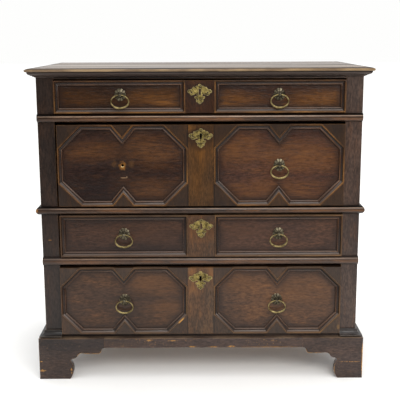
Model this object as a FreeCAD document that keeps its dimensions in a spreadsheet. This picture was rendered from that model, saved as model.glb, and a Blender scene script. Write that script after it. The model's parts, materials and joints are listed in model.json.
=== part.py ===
import FreeCAD, Part
import math
import os
import re

from FreeCAD import Placement, Rotation, Vector

# Oak chest of four long drawers, built in two stacked sections with applied geometric mouldings.
# Millimetres. X to the right seen from the front, the front faces -Y, Z up from the floor.
# The origin is on the floor, under the middle of the top board.

LEFT, RIGHT = -1, 1
SIDES = (LEFT, RIGHT)
SIDE_NAMES = {LEFT: "left", RIGHT: "right"}
# The drawers are numbered from the top down.
DRAWERS = "1234"
UPPER_DRAWERS = "12"
PANELLED_PLAIN = "13"
LOCKED = "24"
# Drawer 2 has lost its left pull and keeps only the hole for it.
PULLS = {"1": SIDES, "2": (RIGHT,), "3": SIDES, "4": SIDES}
# Counts
TAIL_COUNTS = {"1": 1, "2": 3, "3": 2, "4": 2}
BACK_BOARDS_PER_SECTION = 3
ROSE_LOBES = 10
RING_STATIONS = 12
# How far the middle of a quarter round lies from its square corner, as a share of its radius
ROUND_OFF = 1 - math.sqrt(0.5)

SIZES = {
    # Case
    "case_width": 920,
    "top_overhang": 27,
    "top_depth": 590,
    "top_thickness": 20,
    "back_overhang": 4,
    "post_width": 48,
    "post_depth": 50,
    "rail_depth": 45,
    # Heights from the floor up
    "apron_clearance": 97,
    "apron_width": 29.5,
    "bottom_lip": 9,
    "opening4_height": 212,
    "lower_rail_height": 24,
    "opening3_height": 127.5,
    "waist_rail_height": 11.5,
    "opening2_height": 243.5,
    "upper_rail_height": 23.5,
    "opening1_height": 97,
    "top_rail_height": 10,
    "bottom_rail_height": 32.5,
    # Joinery of the case
    "tenon_length": 24,
    "tenon_thickness": 12,
    "tenon_shoulder": 3,
    "side_tenon_inset": 14,
    "side_rail_thickness": 24,
    "side_rail_width": 60,
    "base_side_rail_width": 70,
    "panel_thickness": 9,
    "panel_groove": 8,
    "panel_play": 0.5,
    "rear_rail_thickness": 28,
    "rear_rail_width": 44,
    "back_board_thickness": 12,
    "back_rebate": 20,
    "dowel_radius": 6,
    "dowel_length": 40,
    "dowel_play": 0.15,
    "dowel_inset": 12,
    "dowel_front_inset": 9,
    # Edge of the top, and the moulding under it
    "top_edge_run": 11,
    "nosing_rise": 4,
    "nosing_drop": 5.5,
    "nosing_return": 3,
    "top_quirk": 3,
    "top_ovolo": 8,
    "top_fillet": 1.5,
    "bed_height": 5,
    "bed_projection": 8,
    "bed_fillet": 2.5,
    # Mouldings of the case
    "rail_moulding_projection": 13,
    "rail_moulding_fillet": 4,
    "base_moulding_height": 22.5,
    "base_moulding_projection": 18,
    "base_moulding_fillet": 3,
    "base_moulding_top": 5,
    "base_moulding_quirk": 3.5,
    "base_moulding_quirk_depth": 8,
    # Plinth and bracket feet
    "plinth_thickness": 20.5,
    "left_foot_width": 94,
    "right_foot_width": 77,
    "side_foot_width": 85,
    "foot_toe": 4,
    "foot_bulge": 7,
    "foot_neck_height": 59,
    "foot_ledge": 7,
    "foot_ledge_height": 64,
    "foot_cove": 26,
    "foot_cove_height": 80.5,
    "foot_lobe": 48,
    "foot_lobe_drop": 1,
    "foot_lobe_height": 79,
    "bracket_reach": 20,
    "rear_bracket_width": 120,
    "rear_bracket_lip": 24,
    "block_width": 45,
    # Drawers
    "drawer_back_gap": 4,
    "drawer_bottom_gap": 2,
    "front_thickness": 22,
    "side_thickness": 16,
    "back_thickness": 14,
    "bottom_thickness": 8,
    "bottom_rise": 4,
    "bottom_rebate": 8,
    "side_drop": 6,
    "back_drop": 12,
    "tail_lap": 5,
    "tail_root": 22,
    "tail_flare": 5,
    "runner_height": 14,
    "runner_housing": 6,
    "runner_groove": 9,
    "runner_play": 0.3,
    "runner_end_play": 1,
    "runner_rear": 22,
    # Applied work on the drawer fronts
    "fillet_width": 3,
    "cove_radius": 6.5,
    "bead_radius": 2.25,
    "bead_spring": 4.4,
    "moulding_height": 13,
    "plate_height": 11,
    "notch_half_width": 29,
    "notch_depth": 35,
    # Escutcheons and locks
    "key_drop": 32,
    "key_head_radius": 3.6,
    "key_head_rise": 4,
    "key_slot_width": 5,
    "key_slot_drop": 9,
    "blind_slot_width": 6.5,
    "blind_slot_height": 17,
    "escutcheon_thickness": 1.6,
    "piercing_radius": 2.1,
    "pin_radius": 0.9,
    "pin_play": 0.1,
    "pin_length": 9,
    "pin_head_radius": 2.2,
    "lock_width": 70,
    "lock_height": 52,
    "lock_depth": 12,
    "lock_inset": 1,
    "key_pocket": 5,
    "bolt_width": 20,
    "bolt_thickness": 5,
    "bolt_length": 30,
    "bolt_wall": 1,
    "bolt_play": 0.3,
    "strike_depth": 12,
    "strike_play": 1,
    # Ring pulls
    "pull_spacing": 224,
    "pull_hole_radius": 2.5,
    "shank_play": 0.25,
    "rose_half_width": 14.5,
    "rose_half_height": 16,
    "rose_scallop": 2,
    "rose_crown": 4,
    "rose_edge": 1.2,
    "rose_play": 0.1,
    "eye_reach": 15,
    "eye_ball_radius": 5.2,
    "eye_neck_radius": 3.2,
    "eye_play": 0.8,
    "cotter_length": 20,
    "cotter_width": 4,
    "cotter_thickness": 2,
    "ring_half_width": 24.7,
    "ring_height": 36.4,
    "ring_thin_radius": 1.9,
    "ring_thick_radius": 3,
    "ring_bead_radius": 0.8,
    # Angles round the ring from its top, in degrees
    "ring_swell_start": 100,
    "ring_swell_end": 150,
    "ring_bead_angle": 130,
    # Fit of each drawer in its opening, its middle plate, pulls and corner facets
    "drawer1_top_gap": 4,
    "drawer1_left_gap": 2,
    "drawer1_right_gap": 2,
    "drawer1_middle_plate": 82,
    "drawer1_pull_height": 51,
    "drawer2_top_gap": 7.5,
    "drawer2_left_gap": 6,
    "drawer2_right_gap": 1,
    "drawer2_middle_plate": 75,
    "drawer2_pull_height": 117,
    "drawer2_facet": 66,
    "drawer3_top_gap": 3,
    "drawer3_left_gap": 6,
    "drawer3_right_gap": 1,
    "drawer3_middle_plate": 78,
    "drawer3_pull_height": 66.5,
    "drawer4_top_gap": 7.5,
    "drawer4_left_gap": 1,
    "drawer4_right_gap": 1,
    "drawer4_middle_plate": 78,
    "drawer4_pull_height": 102.5,
    "drawer4_facet": 57,
}

LAYOUT = {
    "half_case": "case_width / 2",
    "case_front": "top_overhang - top_depth / 2",
    "case_back": "top_depth / 2 - back_overhang",
    "board_front": "case_back - back_board_thickness",
    "post_inner": "half_case - post_width",
    "plinth_top": "apron_clearance + apron_width",
    "opening4_low": "plinth_top + bottom_lip",
    "opening4_high": "opening4_low + opening4_height",
    "opening3_low": "opening4_high + lower_rail_height",
    "opening3_high": "opening3_low + opening3_height",
    "section_joint": "opening3_high + waist_rail_height",
    "opening2_low": "section_joint + waist_rail_height",
    "opening2_high": "opening2_low + opening2_height",
    "opening1_low": "opening2_high + upper_rail_height",
    "opening1_high": "opening1_low + opening1_height",
    "case_top": "opening1_high + top_rail_height",
    "frame_low": "opening4_low - bottom_rail_height",
    "front_back": "case_front + front_thickness",
    "drawer_rear": "case_back - post_depth - drawer_back_gap",
    "rail_back": "case_front + rail_depth",
    "moulding_width": "fillet_width + cove_radius + 2 * bead_radius",
    "panel_outside": "half_case - side_rail_thickness / 2 + panel_thickness / 2",
    "panel_inside": "panel_outside - panel_thickness",
    "shank_radius": "pull_hole_radius - shank_play",
    "eye_radius": "ring_thin_radius + eye_play",
    "eye_plane": "case_front - eye_reach",
    "lock_back": "front_back + lock_depth",
    "bolt_back": "lock_back - bolt_wall - bolt_play",
    "bolt_front": "bolt_back - bolt_thickness",
    "plate_face": "case_front - plate_height",
    "plinth_outside": "half_case + plinth_thickness",
    "bracket_run": "foot_ledge + foot_cove + foot_lobe + bracket_reach",
}
for number in DRAWERS:
    LAYOUT.update({
        f"front{number}_low": f"opening{number}_low + drawer_bottom_gap",
        f"front{number}_high": f"opening{number}_high - drawer{number}_top_gap",
        f"front{number}_left": f"drawer{number}_left_gap - post_inner",
        f"front{number}_right": f"post_inner - drawer{number}_right_gap",
        f"front{number}_middle": f"(front{number}_left + front{number}_right) / 2",
        f"box{number}_low": f"front{number}_low + bottom_rise + bottom_thickness",
        f"box{number}_high": f"front{number}_high - side_drop",
        f"runner{number}_low": f"(box{number}_low + box{number}_high - runner_height) / 2",
        f"runner{number}_high": f"runner{number}_low + runner_height",
        f"key{number}_height": f"front{number}_high - key_drop",
        f"pull{number}_height": f"front{number}_low + drawer{number}_pull_height",
    })

doc = FreeCAD.newDocument("chest_of_drawers")
sizes_sheet = doc.addObject("Spreadsheet::Sheet", "Sizes")
layout_sheet = doc.addObject("Spreadsheet::Sheet", "Layout")
sub_parts = []


def bound(text):
    """An expression with each size written as a cell of its sheet."""
    def cell(match):
        word = match.group(0)
        if word in SIZES:
            return f"Sizes.{word}"
        if word in LAYOUT:
            return f"Layout.{word}"
        return word
    return re.sub(r"[A-Za-z_]\w*", cell, text)


def fill_sheet(sheet, contents):
    """Write named cells, one to a row."""
    for row, (name, content) in enumerate(contents.items(), start=1):
        sheet.set(f"A{row}", name)
        sheet.set(f"B{row}", content)
        sheet.setAlias(f"B{row}", name)


fill_sheet(sizes_sheet, {name: str(number) for name, number in SIZES.items()})
fill_sheet(layout_sheet, {name: f"={bound(formula)}" for name, formula in LAYOUT.items()})
doc.recompute()


def value(name):
    """The number in a named cell."""
    sheet = sizes_sheet if name in SIZES else layout_sheet
    return float(sheet.get(name))


# Helpers for objects bound to the sheets

def span(side, near, far):
    """A stretch of X on one side of the middle, from near to far, in rising order."""
    if side == RIGHT:
        return near, far
    return f"-({far})", f"-({near})"


def board(name, across, along, up):
    """A box between a low and a high expression on X, Y and Z."""
    box = doc.addObject("Part::Box", name)
    for size, axis, (low, high) in zip(("Length", "Width", "Height"), "xyz", (across, along, up)):
        box.setExpression(size, bound(f"({high}) - ({low})"))
        box.setExpression(f"Placement.Base.{axis}", bound(low))
    return box


TURNS = {
    "x": Rotation(Vector(0, 1, 0), 90),
    "y": Rotation(Vector(1, 0, 0), -90),
    "z": Rotation(),
}


def rod(name, axis, radius, length, start):
    """A round bar from a start point along +X, +Y or +Z."""
    bar = doc.addObject("Part::Cylinder", name)
    bar.Placement = Placement(Vector(), TURNS[axis])
    bar.setExpression("Radius", bound(radius))
    bar.setExpression("Height", bound(length))
    for letter, place in zip("xyz", start):
        bar.setExpression(f"Placement.Base.{letter}", bound(place))
    return bar


def ball(name, radius, centre):
    """A sphere about a centre."""
    globe = doc.addObject("Part::Sphere", name)
    globe.setExpression("Radius", bound(radius))
    for letter, place in zip("xyz", centre):
        globe.setExpression(f"Placement.Base.{letter}", bound(place))
    return globe


def group(name, members):
    """Separate solids kept together."""
    compound = doc.addObject("Part::Compound", name)
    compound.Links = members
    return compound


def joined(name, members):
    """Several shapes made into one solid."""
    fusion = doc.addObject("Part::MultiFuse", name)
    fusion.Shapes = members
    fusion.Refine = True
    return fusion


def cut(name, base, tools):
    """A shape with the space of the tools taken away."""
    result = doc.addObject("Part::Cut", name)
    result.Base = base
    result.Tool = tools[0] if len(tools) == 1 else group(f"{name}_tools", tools)
    return result


def shaped(name, shape, place=None):
    """A shape worked out from the sheets' numbers."""
    feature = doc.addObject("Part::Feature", name)
    feature.Shape = shape
    feature.Placement = place or Placement()
    return feature


def sub_part(name, members):
    """Declare a sub-part: one object, or a group of separate solids."""
    whole = members[0] if len(members) == 1 else group(f"{name}_group", members)
    whole.Label = name
    sub_parts.append(whole)


# Helpers for outlines and mouldings

def wire(start, steps, place):
    """A wire of lines, and of arcs where a step gives a middle point before its end."""
    edges = []
    here = place(*start)
    for *middle, end in steps:
        there = place(*end)
        if middle:
            edges.append(Part.Arc(here, place(*middle[0]), there).toShape())
        else:
            edges.append(Part.LineSegment(here, there).toShape())
        here = there
    return Part.Wire(edges)


def prism(start, steps, place, travel):
    """A closed outline pushed along a vector."""
    return Part.Face(wire(start, steps, place)).extrude(travel)


def polygon_prism(points, travel):
    """A polygon pushed along a vector."""
    return Part.Face(Part.makePolygon(list(points) + [points[0]])).extrude(travel)


def corner_offsets(points, closed, up):
    """For each corner, the vector that carries a mitre one millimetre to the left of the run."""
    count = len(points)
    lefts = []
    for index in range(count if closed else count - 1):
        side = points[(index + 1) % count] - points[index]
        lefts.append(up.cross(side).normalize())
    if closed:
        pairs = [(lefts[index - 1], lefts[index]) for index in range(count)]
    else:
        pairs = list(zip([lefts[0]] + lefts, lefts + [lefts[-1]]))
    return [(before + after) / (1 + before.dot(after)) for before, after in pairs], lefts


def moulding_strips(points, closed, up, width, height, start, steps):
    """One strip per side of a run of points, mitred where two sides meet.

    The profile is drawn across to the left of the run and upwards, from its back edge.
    """
    offsets, lefts = corner_offsets(points, closed, up)
    strips = []
    for index, left in enumerate(lefts):
        following = (index + 1) % len(points)
        first, last = points[index], points[following]
        ahead = (last - first).normalize()
        corners = [first, last, last + offsets[following] * width, first + offsets[index] * width]
        reaches = [(corner - first).dot(ahead) for corner in corners]
        begin = first + ahead * min(reaches)
        bar = prism(start, steps, lambda across, rise: begin + left * across + up * rise,
                    ahead * (max(reaches) - min(reaches)))
        strips.append(bar.common(polygon_prism(corners, up * height)).Solids[0])
    return strips


UP = Vector(0, 0, 1)
FORWARD = Vector(0, -1, 0)


# Case frame

SECTIONS = {
    "lower": ("apron_clearance", "section_joint"),
    "upper": ("section_joint", "case_top"),
}
FRONT_RAILS = {
    "bottom_rail": ("frame_low", "opening4_low"),
    "lower_rail": ("opening4_high", "opening3_low"),
    "lower_waist_rail": ("opening3_high", "section_joint"),
    "upper_waist_rail": ("section_joint", "opening2_low"),
    "upper_rail": ("opening2_high", "opening1_low"),
    "top_rail": ("opening1_high", "case_top"),
}
SIDE_RAILS = {
    "lower_base": ("frame_low", "frame_low + base_side_rail_width"),
    "lower_head": ("section_joint - side_rail_width", "section_joint"),
    "upper_base": ("section_joint", "section_joint + side_rail_width"),
    "upper_head": ("case_top - side_rail_width", "case_top"),
}
REAR_RAILS = {
    "lower_base": ("frame_low", "frame_low + rear_rail_width"),
    "lower_head": ("section_joint - rear_rail_width", "section_joint"),
    "upper_base": ("section_joint", "section_joint + rear_rail_width"),
    "upper_head": ("case_top - rear_rail_width", "case_top"),
}


def front_tenon(name, side, low, high):
    """The tenon of a front rail in a front post."""
    middle = "(case_front + rail_back) / 2"
    return board(name, span(side, "post_inner", "post_inner + tenon_length"),
                 (f"{middle} - tenon_thickness / 2", f"{middle} + tenon_thickness / 2"),
                 (f"{low} + tenon_shoulder", f"{high} - tenon_shoulder"))


def rear_tenon(name, side, low, high):
    """The tenon of a rear rail in a rear post."""
    middle = "board_front - rear_rail_thickness / 2"
    return board(name, span(side, "post_inner", "post_inner + tenon_length"),
                 (f"{middle} - tenon_thickness / 2", f"{middle} + tenon_thickness / 2"),
                 (f"{low} + tenon_shoulder", f"{high} - tenon_shoulder"))


def side_tenon(name, side, at_front, low, high):
    """The tenon of a side rail in a post."""
    middle = "half_case - side_rail_thickness / 2"
    if at_front:
        along = ("case_front + post_depth - tenon_length", "case_front + post_depth")
    else:
        along = ("case_back - post_depth", "case_back - post_depth + tenon_length")
    return board(name, span(side, f"{middle} - tenon_thickness / 2", f"{middle} + tenon_thickness / 2"),
                 along, (f"{low} + side_tenon_inset", f"{high} - side_tenon_inset"))


def panel_heights(section):
    """Where a section's side panel shows between its rails."""
    return SIDE_RAILS[f"{section}_base"][1], SIDE_RAILS[f"{section}_head"][0]


def panel_groove_in_post(name, side, at_front, section):
    """The groove of a post for the edge of a side panel."""
    low, high = panel_heights(section)
    if at_front:
        along = ("case_front + post_depth - panel_groove", "case_front + post_depth")
    else:
        along = ("case_back - post_depth", "case_back - post_depth + panel_groove")
    return board(name, span(side, "panel_inside", "panel_outside"), along,
                 (f"{low} - panel_groove", f"{high} + panel_groove"))


def section_of(low):
    """The section that a rail belongs to, from its lower edge."""
    return "upper" if value_of(low) >= value("section_joint") else "lower"


def value_of(expression):
    """The number that an expression of the sheets comes to."""
    return float(layout_sheet.evalExpression(bound(expression)))


def dowel_place(side, at_front):
    """The middle of a dowel between the sections."""
    across = f"{side} * (half_case - dowel_inset)"
    if at_front:
        return across, "case_front + dowel_front_inset"
    return across, "case_back - dowel_inset"


def dowel(name, side, at_front, play):
    """A dowel, or its hole where there is play."""
    across, along = dowel_place(side, at_front)
    return rod(name, "z", f"dowel_radius + {play}", f"dowel_length + 2 * {play}",
               (across, along, f"section_joint - dowel_length / 2 - {play}"))


def runner_inside(number, side):
    """How far from the middle a runner reaches, inside the groove of its drawer."""
    edge = f"front{number}_right" if side == RIGHT else f"-front{number}_left"
    return f"{edge} - runner_groove + runner_play"


def runner_block(name, number, side):
    """The strip that carries one side of a drawer, from post to post."""
    return board(name, span(side, runner_inside(number, side), "post_inner + runner_housing"),
                 ("front_back + runner_end_play", "case_back - runner_rear"),
                 (f"runner{number}_low", f"runner{number}_high"))


def post(section, side, at_front):
    """One corner post of a section, with its mortises, grooves and housings."""
    low, high = SECTIONS[section]
    place = "front" if at_front else "rear"
    name = f"{section}_{place}_{SIDE_NAMES[side]}_post"
    if at_front:
        along = ("case_front", "case_front + post_depth")
    else:
        along = ("case_back - post_depth", "case_back")
    blank = board(f"{name}_blank", span(side, "post_inner", "half_case"), along, (low, high))
    tools = [panel_groove_in_post(f"{name}_groove", side, at_front, section),
             dowel(f"{name}_dowel_hole", side, at_front, "dowel_play")]
    for rail, (rail_low, rail_high) in (FRONT_RAILS if at_front else REAR_RAILS).items():
        if section_of(rail_low) == section:
            tenon = front_tenon if at_front else rear_tenon
            tools.append(tenon(f"{name}_{rail}_mortise", side, rail_low, rail_high))
    for rail, (rail_low, rail_high) in SIDE_RAILS.items():
        if section_of(rail_low) == section:
            tools.append(side_tenon(f"{name}_{rail}_side_mortise", side, at_front, rail_low, rail_high))
    for number in DRAWERS:
        if (section == "upper") == (number in UPPER_DRAWERS):
            tools.append(runner_block(f"{name}_housing_{number}", number, side))
    if not at_front:
        tools.append(board(f"{name}_rebate", span(side, "post_inner", "post_inner + back_rebate"),
                           ("board_front", "case_back"), (low, high)))
    return cut(name, blank, tools)


def make_posts():
    for at_front, name in ((True, "front_posts"), (False, "rear_posts")):
        sub_part(name, [post(section, side, at_front) for section in SECTIONS for side in SIDES])


def lock_strike(number):
    """The mortise over a drawer's lock, in the rail above it."""
    half = "bolt_width / 2 + strike_play"
    middle = f"front{number}_middle"
    return board(f"strike_{number}", (f"{middle} - ({half})", f"{middle} + {half}"),
                 ("bolt_front - strike_play", "bolt_back + strike_play"),
                 (f"opening{number}_high", f"opening{number}_high + strike_depth"))


def make_front_rails():
    strikes = {"upper_rail": "2", "lower_rail": "4"}
    rails = []
    for name, (low, high) in FRONT_RAILS.items():
        blank = board(f"{name}_blank", ("-post_inner", "post_inner"),
                      ("case_front", "rail_back"), (low, high))
        tenons = [front_tenon(f"{name}_{SIDE_NAMES[side]}_tenon", side, low, high) for side in SIDES]
        rail = joined(name, [blank] + tenons)
        if name in strikes:
            rail = cut(f"{name}_with_strike", rail, [lock_strike(strikes[name])])
        rails.append(rail)
    sub_part("front_rails", rails)


def make_side_rails():
    rails = []
    for name, (low, high) in SIDE_RAILS.items():
        for side in SIDES:
            rail = f"{name}_{SIDE_NAMES[side]}_rail"
            blank = board(f"{rail}_blank", span(side, "half_case - side_rail_thickness", "half_case"),
                          ("case_front + post_depth", "case_back - post_depth"), (low, high))
            tenons = [side_tenon(f"{rail}_{end}_tenon", side, end == "front", low, high)
                      for end in ("front", "rear")]
            if "base" in name:
                groove_up = (f"{high} - panel_groove", high)
            else:
                groove_up = (low, f"{low} + panel_groove")
            groove = board(f"{rail}_groove", span(side, "panel_inside", "panel_outside"),
                           ("case_front + post_depth", "case_back - post_depth"), groove_up)
            rails.append(cut(rail, joined(f"{rail}_with_tenons", [blank] + tenons), [groove]))
    sub_part("side_rails", rails)


def make_side_panels():
    tuck = "panel_groove - panel_play"
    along = (f"case_front + post_depth - ({tuck})", f"case_back - post_depth + {tuck}")
    panels = []
    for section in SECTIONS:
        low, high = panel_heights(section)
        for side in SIDES:
            panels.append(board(f"{section}_{SIDE_NAMES[side]}_panel",
                                span(side, "panel_inside", "panel_outside"), along,
                                (f"{low} - ({tuck})", f"{high} + {tuck}")))
    sub_part("side_panels", panels)


def make_rear_rails():
    rails = []
    for name, (low, high) in REAR_RAILS.items():
        blank = board(f"{name}_rear_blank", ("-post_inner", "post_inner"),
                      ("board_front - rear_rail_thickness", "board_front"), (low, high))
        tenons = [rear_tenon(f"{name}_rear_{SIDE_NAMES[side]}_tenon", side, low, high) for side in SIDES]
        rails.append(joined(f"{name}_rear_rail", [blank] + tenons))
    sub_part("rear_rails", rails)


def make_back_boards():
    spans = {"lower": ("frame_low", "section_joint"), "upper": ("section_joint", "case_top")}
    boards = []
    half = "post_inner + back_rebate"
    for section, (low, high) in spans.items():
        step = f"({high} - {low}) / {BACK_BOARDS_PER_SECTION}"
        for index in range(BACK_BOARDS_PER_SECTION):
            boards.append(board(f"{section}_back_board_{index + 1}", (f"-({half})", half),
                                ("board_front", "case_back"),
                                (f"{low} + {index} * {step}", f"{low} + {index + 1} * {step}")))
    sub_part("back_boards", boards)


def make_section_dowels():
    dowels = []
    for side in SIDES:
        for at_front in (True, False):
            name = f"{SIDE_NAMES[side]}_{'front' if at_front else 'rear'}_dowel"
            dowels.append(dowel(name, side, at_front, "0"))
    sub_part("section_dowels", dowels)


def make_runners():
    sub_part("drawer_runners", [runner_block(f"runner_{number}_{SIDE_NAMES[side]}", number, side)
                                for number in DRAWERS for side in SIDES])


# Top board and the mouldings of the case

def easing(run, rise):
    """The middle of an arc that leaves a level face and drops by rise at the end of its run."""
    radius = (run ** 2 + rise ** 2) / (2 * rise)
    turn = math.asin(run / radius) / 2
    return run - radius * math.sin(turn), radius * (1 - math.cos(turn))


def top_edge_steps():
    """The moulded edge from the upper face to the lower one, as inset and height under the upper face."""
    run = value("top_edge_run")
    rise = value("nosing_rise")
    drop = rise + value("nosing_drop")
    back = value("nosing_return")
    quirk = back + value("top_quirk")
    ovolo = value("top_ovolo")
    thickness = value("top_thickness")
    low = thickness - value("top_fillet")
    steps = [
        (easing(run, rise), (0, rise)),
        ((back * ROUND_OFF, drop - (drop - rise) * ROUND_OFF), (back, drop)),
        ((quirk, drop),),
        ((quirk + ovolo * ROUND_OFF, low - (low - drop) * ROUND_OFF), (quirk + ovolo, low)),
        ((quirk + ovolo, thickness),),
    ]
    return (run, 0), steps


def reversed_steps(start, steps):
    """The same outline walked backwards."""
    ends = [start] + [step[-1] for step in steps]
    walk = []
    for index in range(len(steps), 0, -1):
        walk.append((*steps[index - 1][:-1], ends[index - 1]))
    return ends[-1], walk


def make_top_board():
    start, edge = top_edge_steps()
    half_width = value("half_case") + value("top_overhang")
    half_depth = value("top_depth") / 2
    top = value("case_top") + value("top_thickness")
    thickness = value("top_thickness")

    def lengthwise(inset, depth):
        return Vector(-half_width, inset - half_depth, top - depth)

    outline = edge + [((2 * half_depth, thickness),), ((2 * half_depth, 0),), (start,)]
    front_edge = prism(start, outline, lengthwise, Vector(2 * half_width, 0, 0))

    def crosswise(inset, depth):
        return Vector(inset - half_width, -half_depth, top - depth)

    far_start, far_edge = reversed_steps(start, edge)
    mirrored = [tuple((2 * half_width - inset, depth) for inset, depth in step) for step in far_edge]
    outline = edge + [((2 * half_width - far_start[0], far_start[1]),)] + mirrored + [(start,)]
    side_edges = prism(start, outline, crosswise, Vector(0, 2 * half_depth, 0))
    sub_part("top_board", [shaped("top_board_solid", front_edge.common(side_edges).Solids[0])])


def case_run(height):
    """Corners of a moulding that goes round the sides and the front, with the case on its right."""
    half = value("half_case")
    front = value("case_front")
    back = value("case_back")
    return [Vector(half, back, height), Vector(half, front, height),
            Vector(-half, front, height), Vector(-half, back, height)]


def make_bed_moulding():
    height = value("bed_height")
    projection = value("bed_projection")
    fillet = value("bed_fillet")
    curve = ((projection - (projection - fillet) * (1 - ROUND_OFF), (height - fillet) * (1 - ROUND_OFF)),
             (projection, height - fillet))
    steps = [((fillet, 0),), curve, ((projection, height),), ((0, height),), ((0, 0),)]
    run = case_run(value("case_top") - height)
    strips = moulding_strips(run, False, UP, projection, height, (0, 0), steps)
    sub_part("top_bed_moulding", [shaped(f"bed_strip_{index}", strip) for index, strip in enumerate(strips)])


def half_round(height):
    """The profile of a rail moulding, flat at the back and round in front."""
    projection = value("rail_moulding_projection")
    fillet = value("rail_moulding_fillet")
    return [((fillet, 0),), ((projection, height / 2), (fillet, height)), ((0, height),), ((0, 0),)]


def make_rail_mouldings():
    half = value("half_case")
    front = value("case_front")
    strips = []
    for low, high in (FRONT_RAILS["lower_rail"], FRONT_RAILS["upper_rail"]):
        height = value(high) - value(low)
        run = [Vector(half, front, value(low)), Vector(-half, front, value(low))]
        strips += moulding_strips(run, False, UP, value("rail_moulding_projection"), height,
                                  (0, 0), half_round(height))
    sub_part("rail_mouldings", [shaped(f"rail_strip_{index}", strip) for index, strip in enumerate(strips)])


def make_waist_moulding():
    height = 2 * value("waist_rail_height")
    run = case_run(value("opening3_high"))
    strips = moulding_strips(run, False, UP, value("rail_moulding_projection"), height,
                             (0, 0), half_round(height))
    sub_part("waist_moulding", [shaped(f"waist_strip_{index}", strip) for index, strip in enumerate(strips)])


def make_base_moulding():
    """Strips along the sides, returned across each front post and stopped at the drawer."""
    height = value("base_moulding_height")
    projection = value("base_moulding_projection")
    fillet = value("base_moulding_fillet")
    top = value("base_moulding_top")
    quirk = value("base_moulding_quirk")
    set_back = projection - value("base_moulding_quirk_depth")
    low = quirk + fillet
    high = height - fillet
    hollow = ((top + (projection - top) * ROUND_OFF, low + (high - low) * ROUND_OFF), (top, high))
    steps = [
        ((set_back, 0),),
        ((set_back, quirk),),
        ((projection, quirk),),
        ((projection, low),),
        hollow,
        ((top, height),),
        ((0, height),),
        ((0, 0),),
    ]
    corners = case_run(value("plinth_top"))
    strips = []
    for side in SIDES:
        stop = Vector(side * value("post_inner"), value("case_front"), value("plinth_top"))
        run = [corners[0], corners[1], stop] if side == RIGHT else [stop, corners[2], corners[3]]
        strips += moulding_strips(run, False, UP, projection, height, (0, 0), steps)
    sub_part("base_moulding", [shaped(f"base_strip_{index}", strip) for index, strip in enumerate(strips)])


# Plinth with bracket feet

def ogee(start, end):
    """An S curve of two arcs, level at both of its ends, as two steps of an outline."""
    run = (end[0] - start[0]) / 2
    rise = (end[1] - start[1]) / 2
    back, lift = easing(run, rise)
    middle = (start[0] + run, start[1] + rise)
    return [((middle[0] - back, start[1] + lift), middle),
            ((middle[0] + back, end[1] - lift), end)]


def bracket_steps(foot_width):
    """A bracket foot seen from outside, from the floor at its corner round to the apron, and back."""
    neck = value("foot_neck_height")
    ledge = foot_width + value("foot_ledge")
    cove = ledge + value("foot_cove")
    lobe = cove + value("foot_lobe")
    reach = foot_width + value("bracket_run")
    ledge_height = value("foot_ledge_height")
    cove_height = value("foot_cove_height")
    lobe_height = value("foot_lobe_height")
    apron = value("apron_clearance")
    top = value("plinth_top")
    return [
        ((foot_width - value("foot_toe"), 0),),
        ((foot_width + value("foot_bulge"), neck / 2), (foot_width - value("foot_toe"), neck)),
        ((ledge, ledge_height),),
        *ogee((ledge, ledge_height), (cove, cove_height)),
        (((cove + lobe) / 2, (cove_height + lobe_height) / 2 - value("foot_lobe_drop")), (lobe, lobe_height)),
        *ogee((lobe, lobe_height), (reach, apron)),
        ((reach, top),),
        ((0, top),),
        ((0, 0),),
    ], reach


def front_bracket(side, foot_width):
    """A front bracket, mitred at the corner."""
    steps, reach = bracket_steps(foot_width)
    thickness = value("plinth_thickness")
    outer = value("plinth_outside")
    front = value("case_front")
    blank = prism((0, 0), steps, lambda inset, rise: Vector(side * (outer - inset), front - thickness, rise),
                  Vector(0, thickness, 0))
    plan = [(outer, front - thickness), (outer - reach, front - thickness),
            (outer - reach, front), (value("half_case"), front)]
    mitre = polygon_prism([Vector(side * across, along, 0) for across, along in plan],
                          UP * value("plinth_top"))
    return blank.common(mitre).Solids[0]


def side_bracket(side, at_front):
    """A bracket on the side of the case: the front one is mitred, the rear one is square."""
    steps, reach = bracket_steps(value("side_foot_width"))
    thickness = value("plinth_thickness")
    inner = value("half_case")
    corner = value("case_front") - thickness if at_front else value("case_back")
    towards = 1 if at_front else -1
    blank = prism((0, 0), steps, lambda inset, rise: Vector(side * inner, corner + towards * inset, rise),
                  Vector(side * thickness, 0, 0))
    if not at_front:
        return blank
    plan = [(inner + thickness, corner), (inner, corner + thickness),
            (inner, corner + reach), (inner + thickness, corner + reach)]
    mitre = polygon_prism([Vector(side * across, along, 0) for across, along in plan],
                          UP * value("plinth_top"))
    return blank.common(mitre).Solids[0]


def rear_bracket_steps():
    """A plain bracket behind a rear foot, hollowed from the foot up to its top."""
    width = value("rear_bracket_width")
    foot = value("block_width")
    top = value("apron_clearance")
    lip = value("rear_bracket_lip")
    hollow = ((foot + (width - foot) * ROUND_OFF, (top - lip) * (1 - ROUND_OFF)), (width, top - lip))
    return [((foot, 0),), hollow, ((width, top),), ((0, top),), ((0, 0),)]


def rear_bracket(side):
    """The bracket on the back of a rear foot."""
    inner = value("half_case")
    back = value("case_back")
    return prism((0, 0), rear_bracket_steps(), lambda inset, rise: Vector(side * (inner - inset), back, rise),
                 FORWARD * value("plinth_thickness"))


def make_brackets():
    widths = {LEFT: value("left_foot_width"), RIGHT: value("right_foot_width")}
    front = []
    sides = []
    rear = []
    for side in SIDES:
        hand = SIDE_NAMES[side]
        front.append(shaped(f"front_bracket_{hand}", front_bracket(side, widths[side])))
        for end in ("front", "rear"):
            sides.append(shaped(f"side_bracket_{hand}_{end}", side_bracket(side, end == "front")))
        rear.append(shaped(f"rear_bracket_{hand}", rear_bracket(side)))
    sub_part("front_brackets", front)
    sub_part("side_brackets", sides)
    sub_part("rear_brackets", rear)


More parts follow.
